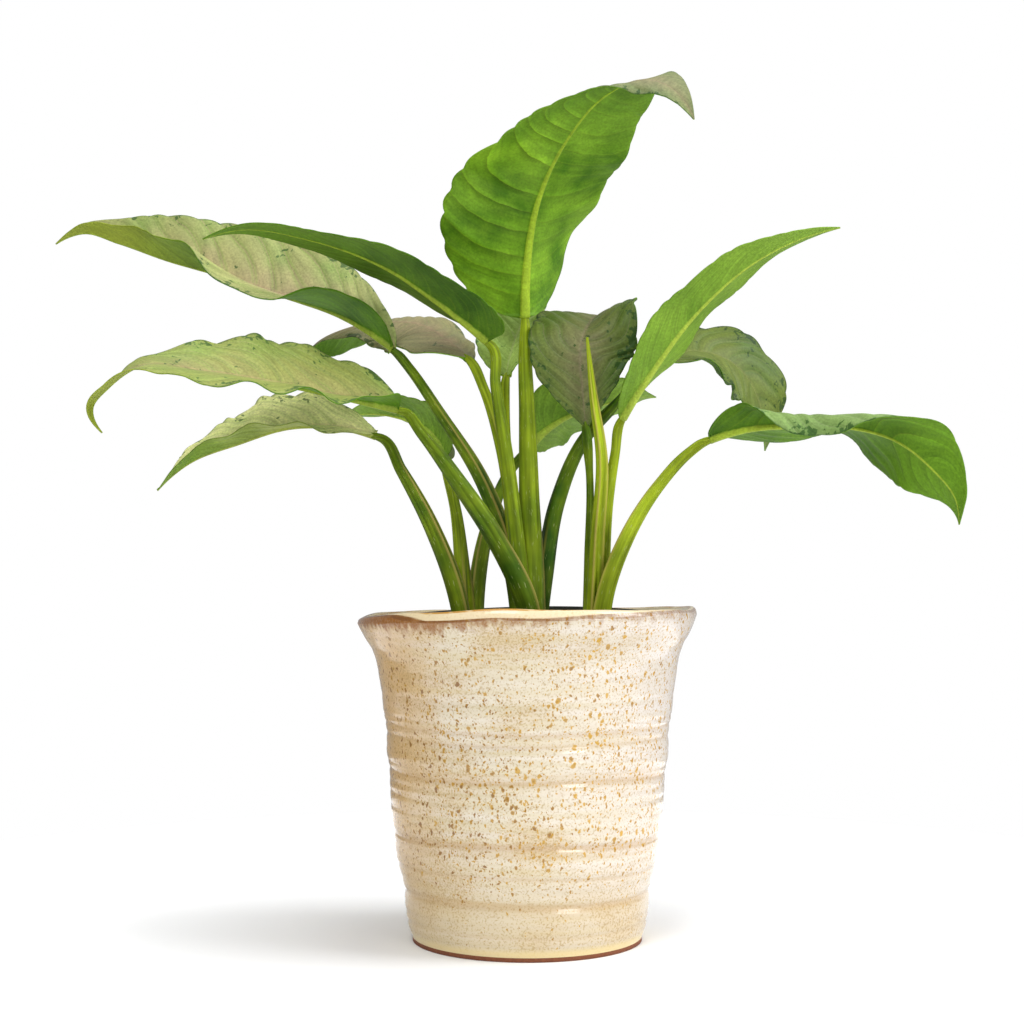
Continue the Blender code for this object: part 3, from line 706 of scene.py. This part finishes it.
print("blades:", len(LEAVES), "stations:", sum(len(leaf["stations"]) for leaf in LEAVES.values()))


# %% The midrib and the outline
def unit(vectors):
    """Each vector with a length of 1."""
    return vectors / np.linalg.norm(vectors, axis=-1, keepdims=True)


def midrib(leaf, shares):
    """Midrib points, directions along, to the right and up, and the angles, at each share of the length."""
    table = np.array([(*station, 0)[:6] for station in leaf["stations"]], float)
    knots = knots_of(table[:, :3])
    read = smooth_through(table, knots, shares)
    step = 0.002
    ahead = smooth_through(table[:, :3], knots, np.clip(shares + step, 0, 1))
    behind = smooth_through(table[:, :3], knots, np.clip(shares - step, 0, 1))
    along = unit(ahead - behind)
    heading = math.radians(leaf["heading"])
    side = np.array([math.sin(heading), -math.cos(heading), 0])
    side = unit(side - (along @ side)[:, None] * along)
    return read[:, :3], along, side, np.cross(side, along), np.radians(read[:, 3:])


def half_widths(leaf, shares):
    """Half width along the length: round to the widest place, then tapering to a drawn-out tip."""
    low = np.clip(shares / leaf["widest"], 0, 1)
    high = np.clip((shares - leaf["widest"]) / (1 - leaf["widest"]), 0, 1)
    below = (1 - (1 - low) ** 2) ** leaf["blunt"]
    shape = np.where(shares < leaf["widest"], below, (1 - high ** leaf["full"]) * (1 - TIP_TAPER * high))
    return leaf["half_width"] * shape + BASE_HALF_WIDTH * (1 - shares) + TIP_HALF_WIDTH * shares


# %% The surface of a blade
def blade_points(leaf, number, shares, across):
    """The upper surface in mm, and each point's vein phase, distance from the midrib and painted pleat shade.
    """
    middle, along, side, up, angles = midrib(leaf, shares)
    row, out = shares[:, None], np.abs(across)[None, :]
    left = across[None, :] < 0
    hand = np.where(left, -1.0, 1.0)
    widths = half_widths(leaf, shares)[:, None]
    narrow = widths / leaf["half_width"]
    halves = np.array(leaf["halves"])
    halves = [np.interp(row, np.linspace(0, 1, len(halves)), halves[:, half]) for half in (0, 1)]
    widths = widths * np.where(left, *halves)
    draw = np.random.default_rng(number)
    wander = sum(0.16 * np.sin(math.tau * (k * row + draw.random()) + 2 * hand) for k in (2, 3, 5))
    phase = leaf["veins"] * (row - leaf["lean"] * out ** leaf["bend"]) + wander + 0.5 * left
    crest = np.abs(np.sin(math.pi * phase)) ** 0.8 - 0.62
    body = np.clip(np.sin(math.pi * row), 0, 1) ** 0.5 * narrow
    pleats = np.where(left, *leaf["pleats"])
    pleat = pleats * out ** 0.7 * (1.25 - out ** 3) * body * crest
    scallop = np.where(left, *leaf["scallop"])
    reach = widths * out * (1 + scallop * crest * out ** 5)
    start = np.where(left, angles[:, 0:1], angles[:, 1:2])
    roll = np.where(left, 0, angles[:, 2:3])
    steps = start[..., None] + (roll * out)[..., None] * (np.arange(ROLL_STEPS) + 0.5) / ROLL_STEPS
    sideways = np.cos(steps).mean(axis=-1) * reach * hand
    rise = np.sin(steps).mean(axis=-1) * reach
    high, count = leaf["wave"]
    wave = high * np.sin(math.tau * (count * row + 0.37 * number + 0.2 * hand)) * out ** 2.5 * body
    arch = np.where(left, *leaf["arch"]) * 4 * out * (1 - out) * body
    # The relief stands square to the sheet, whichever way that faces by then
    lift = wave + arch + pleat
    last = start + roll * out
    sideways = sideways - lift * np.sin(last) * hand
    rise = rise + lift * np.cos(last)
    forward = leaf["sweep"] * out * widths * (1 - row)
    points = (middle[:, None] + sideways[..., None] * side[:, None] + rise[..., None] * up[:, None]
              + forward[..., None] * along[:, None])
    # The last value: how strongly the pleat's light and shade are painted beneath, most in the inner part of
    # each half
    return points, phase, out * widths, pleats * out ** 0.3 * (1 - 0.8 * out ** 2) * body


# %% A finished blade
def rib_size(ends, share):
    """A rib's height or half width in mm at a share of the blade's length."""
    return ends[1] + (ends[0] - ends[1]) * (1 - share) ** RIB_SHRINK


def flat_grid(shape, rows, columns):
    """Adds a flat grid of faces, and gives the row and the column of each of its points."""
    made = bmesh.ops.create_grid(shape, x_segments=columns, y_segments=rows, size=1)["verts"]
    places = [((vertex.co.y + 1) / 2 * rows, (vertex.co.x + 1) / 2 * columns) for vertex in made]
    return {vertex: (round(row), round(column)) for vertex, (row, column) in zip(made, places)}


def make_blade(name, materials):
    """Bends a grid into a blade, with its maps, and thickens it below, most of all at the midrib."""
    leaf, number = LEAVES[name], int(name[-2:])
    shares = np.linspace(0, 1, BLADE_ROWS + 1)
    spaced = np.linspace(-1, 1, BLADE_COLUMNS + 1)
    across = np.sign(spaced) * np.abs(spaced) ** COLUMN_CROWDING
    points, phase, distance, shade = blade_points(leaf, number, shares, across)
    shape = bmesh.new()
    # The strength of the painted pleat shade, kept on each point for the underside's colour
    painted_pleat_shade_layer = shape.verts.layers.float.new("pleat")
    place_of, weights = flat_grid(shape, BLADE_ROWS, BLADE_COLUMNS), []
    for vertex, (row, column) in place_of.items():
        vertex.co = points[row, column] * MM
        vertex[painted_pleat_shade_layer] = shade[row, column]
        inward = max(0, 1 - (distance[row, column] / rib_size(RIB_HALF_WIDTH, shares[row])) ** 2)
        extra = (rib_size(RIB_THICK, shares[row]) - BLADE_THICK) / (RIB_THICK[0] - BLADE_THICK)
        weights.append(math.sqrt(inward) * extra)
    blade_map = shape.loops.layers.uv.new("blade")
    vein_map = shape.loops.layers.uv.new("veins")
    for face in shape.faces:
        for loop in face.loops:
            row, column = place_of[loop.vert]
            loop[blade_map].uv = (0.5 + 0.5 * across[column], shares[row])
            loop[vein_map].uv = (phase[row, column], distance[row, column] / 10)
    bmesh.ops.triangulate(shape, faces=shape.faces, quad_method="FIXED")
    piece = new_piece(f"blade_{name[-2:]}", shape, materials, name)
    group = piece.vertex_groups.new(name="midrib")
    for index, weight in enumerate(weights):
        group.add([index], weight, "REPLACE")
    solidify = piece.modifiers.new("thickness", "SOLIDIFY")
    solidify.thickness = RIB_THICK[0] * MM
    solidify.offset = -1
    solidify.vertex_group = group.name
    solidify.thickness_vertex_group = BLADE_THICK / RIB_THICK[0]
    solidify.material_offset = 1
    solidify.material_offset_rim = 1
    return piece


# %% [markdown]
# ### Living leaf tissue
#
# Leaf skin is a thin wax over wet cells, so it is satin, not glossy. Above, it is silver green, rosy
# towards the midrib, with dark green islands along the margin. Beneath, it is one green with a pale,
# yellowish midrib. The two maps of each blade give the place across and along it, and the phase of its side
# veins, so that marks follow the blade however it is bent.

# %% The tones of the leaves
# Upper side: main tone, rosy tone, green patches, islands at the margin, and how rosy it is near the midrib
UPPER_TONES = {
    "silver": ("#9DA464", "#B29D7E", "#7C9A49", "#35592A", 1.2),
    # light: a paler copy with painted light, for a blade that lies in the shade of the one above it
    "light": ("#EEF0A4", "#DCCE9C", "#B4CC70", "#41692E", 0.8),
    "straw": ("#929E50", "#A8966C", "#7C9A49", "#35592A", 1.0),
    "tawny": ("#80885A", "#908264", "#5E7842", "#2F5024", 1.2),
    "rosy": ("#8E8B5E", "#9A8568", "#788452", "#3C542C", 1.3),
    "pale": ("#93B04E", "#B0BC7C", "#7BA040", "#3E6B2C", 0.6),
    "sage": ("#84A25A", "#929C6E", "#6E904A", "#2C5420", 0.6),
    "dull": ("#66763A", "#7E7452", "#4F6A2E", "#2A4A1E", 0.7),
    # shaded_grey: darker, greyer tones, a copy with painted shade for a blade seen in dimmer light
    "shaded_grey": ("#5E6E2B", "#747C42", "#46622A", "#243E18", 0.8),
    "smoky": ("#60722E", "#80775A", "#486628", "#2A4A1E", 1.25),
}
# Underside: lit tone, deep tone, midrib, and the tone towards the tip
UNDER_TONES = {
    "fresh": ("#82AE2A", "#4A760F", "#98B42E", "#587D25"),
    "bright": ("#80A434", "#628824", "#A4BA42", "#7EA234"),
    "dark": ("#5A811A", "#375E0A", "#98AE34", "#628A1E"),
    "mossy": ("#5F8A1C", "#3F680F", "#8EA236", "#98A238"),
    "pale": ("#A4AE58", "#78883A", "#98A444", "#648A24"),
}
print("tones:", len(UPPER_TONES), "above,", len(UNDER_TONES), "beneath")

# %% What both sides share
FINE_VEINS = 5


def blade_maps(node, place):
    """The way across, along and out from the midrib, and the side veins as waves that are 0 on a vein."""
    blade, veins = [node("SeparateXYZ", node("UVMap " + name)).node.outputs for name in ("blade", "veins")]
    drift = node("Math MULTIPLY_ADD", node("TexNoise", place, 120.0, 2.0), 0.16, veins["X"])
    waves = []
    for count in (1, FINE_VEINS):
        wave = node("Math SINE", node("Math MULTIPLY", drift, math.pi * count))
        waves.append(node("Math ABSOLUTE", wave))
    # Both fade towards the tip, where they lie closer than the eye can part them
    for index, (first, last) in enumerate(((0.7, 0.92), (0.4, 0.75))):
        fade = node("MapRange", blade["Y"], first, last)
        waves[index] = node("Mix", fade, waves[index], 0.6)
    # Feathery streaks that run out along the side veins
    streaks = node("Mapping", node("CombineXYZ", drift, veins["Y"], blade["X"]), Scale=(3.4, 0.4, 3.0))
    streaks = node("TexNoise", streaks, 1.0, 4.0, Distortion=0.5)
    return blade, veins["Y"], drift, streaks, *waves


def finish_skin(material, node, colour, place, streaks, wave, fine_wave):
    """Adds what all leaf skin has: fine veins, cells, and the relief of both."""
    cells = node("TexNoise", place, 900.0, 3.0)
    fine = node("MapRange", fine_wave, 0, 0.6, 0.94, 1.02)
    shade = node("Math MULTIPLY", node("MapRange", cells, 0.3, 0.7, 0.82, 1.16), fine)
    feather = node("MapRange", streaks, 0.3, 0.7, 0.84, 1.16)
    shade = node("Math MULTIPLY", shade, feather)
    colour = node("Mix RGBA", 1.0, colour, shade, blend_type="MULTIPLY")
    relief = node("Math MULTIPLY_ADD", cells, 0.5, wave)
    relief = node("Math MULTIPLY_ADD", fine_wave, 0.15, relief)
    bump = node("Bump", Strength=0.35, Distance=0.0002, Height=relief)
    return connect(material, Base_Color=colour, Normal=bump)


# %% The upper side
def leaf_upper(name):
    """Living leaf, upper side: satin wax over silver-green tissue with dark islands at the margin."""
    silver, blush, green, dark, rosy = UPPER_TONES[name]
    material, node, place = new_material(f"leaf_skin_upper_{name}", Roughness=0.48, IOR=1.4,
        Specular_IOR_Level=0.25)
    blade, _, _, streaks, wave, fine_wave = blade_maps(node, place)
    out = node("Math ABSOLUTE", node("Math MULTIPLY_ADD", blade["X"], 2.0, -1.0))
    slow = node("TexNoise", place, 38.0, 4.0)
    colour = tint(node, linear(silver), slow, 0.45, 0.66, 0.8, green)
    near = node("MapRange", out, 0.0, 0.7, rosy, 0.15)
    warm = node("TexNoise", place, 60.0, 3.0)
    near = node("Math MULTIPLY", near, warm, use_clamp=True)
    colour = node("Mix RGBA", near, colour, linear(blush))
    # Side veins: rosy lines with a darker green beside them
    colour = tint(node, colour, wave, 0.55, 0.2, 0.4, green)
    colour = tint(node, colour, wave, 0.2, 0.0, 0.5, blush)
    colour = tint(node, colour, out, 0.05, 0.015, 0.6, blush)
    # Dark islands that crowd at the margin, and a few flecks elsewhere
    islands = node("TexNoise", place, 330.0, 3.0, Distortion=0.4)
    groups = node("MapRange", node("TexNoise", place, 75.0, 1.0), 0.35, 0.65, -0.13, 0.1)
    gather = node("MapRange", out, 0.66, 0.95, -0.1, 0.08)
    islands = node("Math ADD", node("Math ADD", islands, gather), groups)
    mask = node("MapRange SMOOTHSTEP", islands, 0.60, 0.66, 0, 0.8)
    colour = node("Mix RGBA", mask, colour, linear(dark))
    colour = tint(node, colour, out, 0.965, 0.99, 0.5, dark)
    return finish_skin(material, node, colour, place, streaks, wave, fine_wave)


# %% The underside
# How strongly the pleats' light and shade are painted on the underside
PAINTED_PLEAT_SHADE = 3.2


def leaf_under(name):
    """Living leaf, underside: plain satin green with a pale, raised midrib and faint side veins."""
    light, deep, rib, last = UNDER_TONES[name]
    material, node, place = new_material(f"leaf_skin_under_{name}", Roughness=0.5, IOR=1.4,
        Specular_IOR_Level=0.22)
    blade, distance, drift, streaks, wave, fine_wave = blade_maps(node, place)
    slow = node("TexNoise", place, 45.0, 6.0)
    colour = tint(node, linear(light), slow, 0.35, 0.68, 1, deep)
    colour = tint(node, colour, blade["Y"], 0.45, 0.8, 0.8, last)
    # Painted light and shade: each pleat is painted light just past its vein and dark just before the next
    # one, and the vein itself is pale
    pleat = node("Attribute pleat").node.outputs["Fac"]
    pleat_shade_ramp = node("Math SUBTRACT", node("Math FRACT", drift), 0.5)
    pleat_shade_ramp = node("Math POWER", pleat_shade_ramp, 3.0)
    shade = node("Math MULTIPLY_ADD", node("Math MULTIPLY", pleat_shade_ramp, pleat), -PAINTED_PLEAT_SHADE, 1.0)
    colour = node("Mix RGBA", 1.0, colour, shade, blend_type="MULTIPLY")
    colour = tint(node, colour, wave, 0.16, 0.0, 0.16, rib)
    # The midrib: wide and pale at the base, a hair at the tip
    shrunk = node("Math POWER", node("Math SUBTRACT", 1.0, blade["Y"]), RIB_SHRINK)
    wide = node("MapRange", shrunk, 0, 1, RIB_HALF_WIDTH[1] / 10, RIB_HALF_WIDTH[0] / 10)
    inside = node("Math SUBTRACT", wide, distance)
    mask = node("MapRange SMOOTHSTEP", inside, -0.03, 0.03)
    colour = node("Mix RGBA", mask, colour, linear(rib))
    return finish_skin(material, node, colour, place, streaks, wave, fine_wave)


# %% All thirteen blades
uppers = {name: leaf_upper(name) for name in UPPER_TONES}
unders = {name: leaf_under(name) for name in UNDER_TONES}
for name, leaf in LEAVES.items():
    make_blade(name, [uppers[leaf["upper"]], unders[leaf["under"]]])

# %% [markdown]
# ## Stalks and their sheaths
#
# Each stalk is a strip of tissue rolled into a channel. Low down its two edges are thin tan wings that
# clasp the next stalk, and further up they close to a shallow groove. So a stalk is a grid rolled round its
# route: its section is a circle with a groove on the side that faces the clump, and a wing on each side of
# the groove.

# %% The stalks' sizes
STALK_ROWS = 90
STALK_SIDES = 36
STALK_TIP = 2.2
STALK_END = 3
# Where a stalk ends inside its blade's rib: share of the blade, depth below its top and radius in mm
STALK_ENDS = [(0, 0.9, 1.8), (0.035, 1.2, 1.0), (0.07, 0.9, 0.3)]
STEM_FOOT = 126
STEM_TOP = 151
STEM_STEPS = 40
STEM_TONE = 0.7
WING_ANGLE = 0.8

# A stalk is: which way its groove faces (x, y, z), how far up its wings go, how dark it is at its foot and
# its top, and x, y, z and radius in mm from the root up.
SHOOTS = {
    "shoot_centre": ((1, -1, 13.5), {
        "leaf_01": ((0.6, 1, 0), 0.45, (0.65, 0.25), [
            (2, 0, 136, 6), (2, 0, 170, 5.6), (1, 0, 210, 4.9), (0, 0, 250, 3.9), (-1, 0, 280, 3.0)]),
        "leaf_02": ((1, -0.5, 0.5), 0.8, (0.85, 0.7), [
            (-3, 4, 136, 4.5), (-8, 8, 180, 4.5), (-22, 9, 218, 3.6), (-42, 9, 250, 2.8),
            (-57, 8, 272, 2.4)]),
        "leaf_03": ((0.5, 1, 0.3), 0.4, (0.7, 0.35), [
            (-1, -5, 136, 4), (-5, -7, 190, 3.6), (-10, -8, 230, 3.2), (-15, -7, 262, 2.6)]),
        "leaf_04": ((1, 0.2, 0.6), 0.45, (0.85, 0.6), [
            (3, -6, 136, 4.5), (0, -12, 158, 5.5), (-14, -18, 188, 5), (-32, -20, 215, 4.2),
            (-49, -20, 238, 3)]),
        "leaf_06": ((0.6, -0.8, 0.3), 0.8, (0.4, 0.2), [
            (-3, 5, 136, 4), (-6, 5, 190, 3.6), (-12, 4, 232, 3), (-21, 5, 262, 2.4)]),
        "leaf_08": ((0.4, -1, 0), 0.2, (0.2, 0.1), [
            (-1, 7, 136, 3), (-7, 13, 200, 2.4), (-10, 15, 250, 1.8)]),
        "leaf_12": ((-1, -0.3, 0.4), 0.45, (0.9, 0.75), [
            (4, 4, 136, 4.5), (8, 11, 170, 4.6), (15, 18, 208, 4), (28, 18, 238, 3.2)]),
    }),
    "shoot_left": ((-27, 9, 12.5), {
        "leaf_05": ((1, -0.2, 0.5), 0.85, (0.55, 0.7), [
            (-29, 4, 136, 4.5), (-34, 0, 165, 4.6), (-45, -2, 194, 4), (-60, -2, 222, 3)]),
        "leaf_07": ((1, -0.6, 0.3), 0.5, (0.2, 0.4), [
            (-29, 10, 136, 4.5), (-31, 14, 170, 4), (-35, 20, 205, 2.8)]),
        "leaf_10": ((-1, -0.3, 0.3), 0.7, (0.4, 0.9), [
            (-25, 12, 136, 4.5), (-24, 23, 170, 4.2), (-18, 32, 200, 3.4), (-8, 36, 224, 2.6)]),
    }),
    "shoot_right": ((33, -1, 12), {
        "leaf_09": ((0.6, -0.8, 0), 0.4, (0.5, 0.7), [
            (30, 4, 136, 4), (30, 4, 180, 2.6), (30, 2, 220, 1.8)]),
        "leaf_11": ((-1, 0.2, 0.2), 0.5, (0.25, 0.1), [
            (36, 4, 136, 5), (36, 4, 175, 4), (38, 1, 205, 3.2), (42, -1, 230, 2.4)]),
        "leaf_13": ((-1, 0.1, 0.7), 0.75, (0.3, 0.05), [
            (34, -6, 136, 5), (36, -8, 160, 4.6), (46, -8, 188, 4), (62, -6, 214, 3.2), (77, -5, 230, 2.6)]),
        "spear": ((0.6, -1, 0), 1.0, (0.3, -0.2), [
            (31, -5, 136, 4.5), (33, -8, 190, 3.2), (35, -12, 225, 2.7), (31, -17, 255, 1.9),
            (28, -20, 283, 0.6)]),
    }),
}


# %% The stalks' shape
def stalk_route(leaf_name, route):
    """The route carried on under its blade's midrib, so that stalk and rib run into each other."""
    if leaf_name not in LEAVES:
        return np.array(route, float)
    shares, depths, radii = np.array(STALK_ENDS).T
    middle, along, _, up, _ = midrib(LEAVES[leaf_name], shares)
    under = middle - up * depths[:, None]
    before = under[0] - along[0] * STALK_END
    return np.array([*route, (*before, STALK_TIP), *np.column_stack([under, radii])], float)


def add_stalk(shape, leaf_name, groove_to, sheath, tones, route):
    """Rolls a grid round a stalk's route, with its groove and wings, and closes its seam and its ends."""
    route = stalk_route(leaf_name, route)
    knots = knots_of(route[:, :3])
    shares = np.linspace(0, 1, STALK_ROWS + 1)
    read = smooth_through(route, knots, shares)
    along = unit(np.gradient(read[:, :3], axis=0))
    facing = unit(np.array(groove_to, float))
    facing = unit(facing - (along @ facing)[:, None] * along)
    beside = np.cross(along, facing)
    turns = np.linspace(-math.pi, math.pi, STALK_SIDES + 1)
    clasp = np.clip((sheath - shares) / 0.25, 0, 1)[:, None]
    groove = (0.12 + 0.4 * clasp) * np.exp(-(turns / 0.55) ** 2)
    wing = 0.26 * clasp * np.exp(-((np.abs(turns) - WING_ANGLE) / 0.16) ** 2)
    radius = read[:, 3:4] * (1 - groove + wing)
    points = (read[:, None, :3] + (radius * np.cos(turns))[..., None] * facing[:, None]
              + (radius * np.sin(turns))[..., None] * beside[:, None])
    place_of = flat_grid(shape, STALK_ROWS, STALK_SIDES)
    uv, tone, tan = (shape.loops.layers.uv["stalk"], shape.verts.layers.float["tone"],
                     shape.verts.layers.float["wing"])
    for vertex, (row, column) in place_of.items():
        vertex.co = points[row, column] * MM
        vertex[tone] = tones[0] * (1 - shares[row]) + tones[1] * shares[row]
        crest = math.exp(-((abs(turns[column]) - WING_ANGLE) / 0.12) ** 2)
        vertex[tan] = crest * min(1, clasp[row, 0] * 1.6)
    length = float(np.linalg.norm(np.diff(route[:, :3], axis=0), axis=1).sum()) * MM
    faces = {face for vertex in place_of for face in vertex.link_faces}
    for face in faces:
        for loop in face.loops:
            row, column = place_of[loop.vert]
            loop[uv].uv = (column / STALK_SIDES, shares[row] * length)
    bmesh.ops.remove_doubles(shape, verts=list(place_of), dist=1e-7)
    edges = [edge for face in faces if face.is_valid for edge in face.edges if edge.is_boundary]
    bmesh.ops.holes_fill(shape, edges=list(set(edges)), sides=0)


# %% A finished clump
def make_shoot(name, material):
    """A clump: a short, turned stem and the stalks that grow from it."""
    (x, y, radius), stalks = SHOOTS[name]
    shape = bmesh.new()
    shape.loops.layers.uv.new("stalk")
    shape.verts.layers.float.new("tone")
    shape.verts.layers.float.new("wing")
    profile = [(0, STEM_TOP), (radius * 0.55, STEM_TOP - 2), (radius * 0.9, STEM_TOP - 6),
        (radius, STEM_TOP - 10), (radius, STEM_FOOT), (0, STEM_FOOT)]
    turn(shape, profile, STEM_STEPS, x, y)
    for vertex in shape.verts:
        vertex[shape.verts.layers.float["tone"]] = STEM_TONE
    for leaf_name, (groove_to, sheath, tones, route) in stalks.items():
        add_stalk(shape, leaf_name, groove_to, sheath, tones, route)
    bmesh.ops.recalc_face_normals(shape, faces=shape.faces)
    return new_piece(f"clump_{name[6:]}", shape, [material], name)


# %% [markdown]
# ### The skin of a stalk
#
# A stalk is greener and smoother than a blade, with fine fibres along it. The wings of its sheath dry out
# as the plant grows, so they are tan. Most stalks are darker at the foot, in the shade of the others.

# %% Stalk finish
def stalk_skin():
    """Living stalk: satin wax over green tissue with fine fibres, pale scars and tan, papery sheath edges."""
    material, node, place = new_material("stalk_skin", Roughness=0.5, IOR=1.4, Specular_IOR_Level=0.15)
    uv = node("UVMap stalk")
    tone, wing = [node("Attribute " + name).node.outputs["Fac"] for name in ("tone", "wing")]
    fibres = node("TexNoise", node("Mapping", uv, Scale=(13, 22, 1)), 1.0, 2.0)
    clouds = node("TexNoise", place, 60.0, 2.0)
    sway = node("MapRange", clouds, 0.3, 0.7, -0.22, 0.22)
    tone = node("Math ADD", tone, sway, use_clamp=True)
    colour = node("Mix RGBA", tone, linear("#9BAE22"), linear("#31560F"))
    streak = node("MapRange", fibres, 0.35, 0.68, 0.62, 1.3)
    colour = node("Mix RGBA", 1.0, colour, streak, blend_type="MULTIPLY")
    scars = node("TexNoise", node("Mapping", uv, Scale=(60, 190, 1)), 1.0, 2.0)
    colour = tint(node, colour, scars, 0.66, 0.72, 0.6, "#C6CE8A")
    colour = node("Mix RGBA", wing, colour, linear("#B7A458"))
    bump = node("Bump", Strength=0.3, Distance=0.0003, Height=fibres)
    return connect(material, Base_Color=colour, Normal=bump)


skin = stalk_skin()
for name in SHOOTS:
    make_shoot(name, skin)
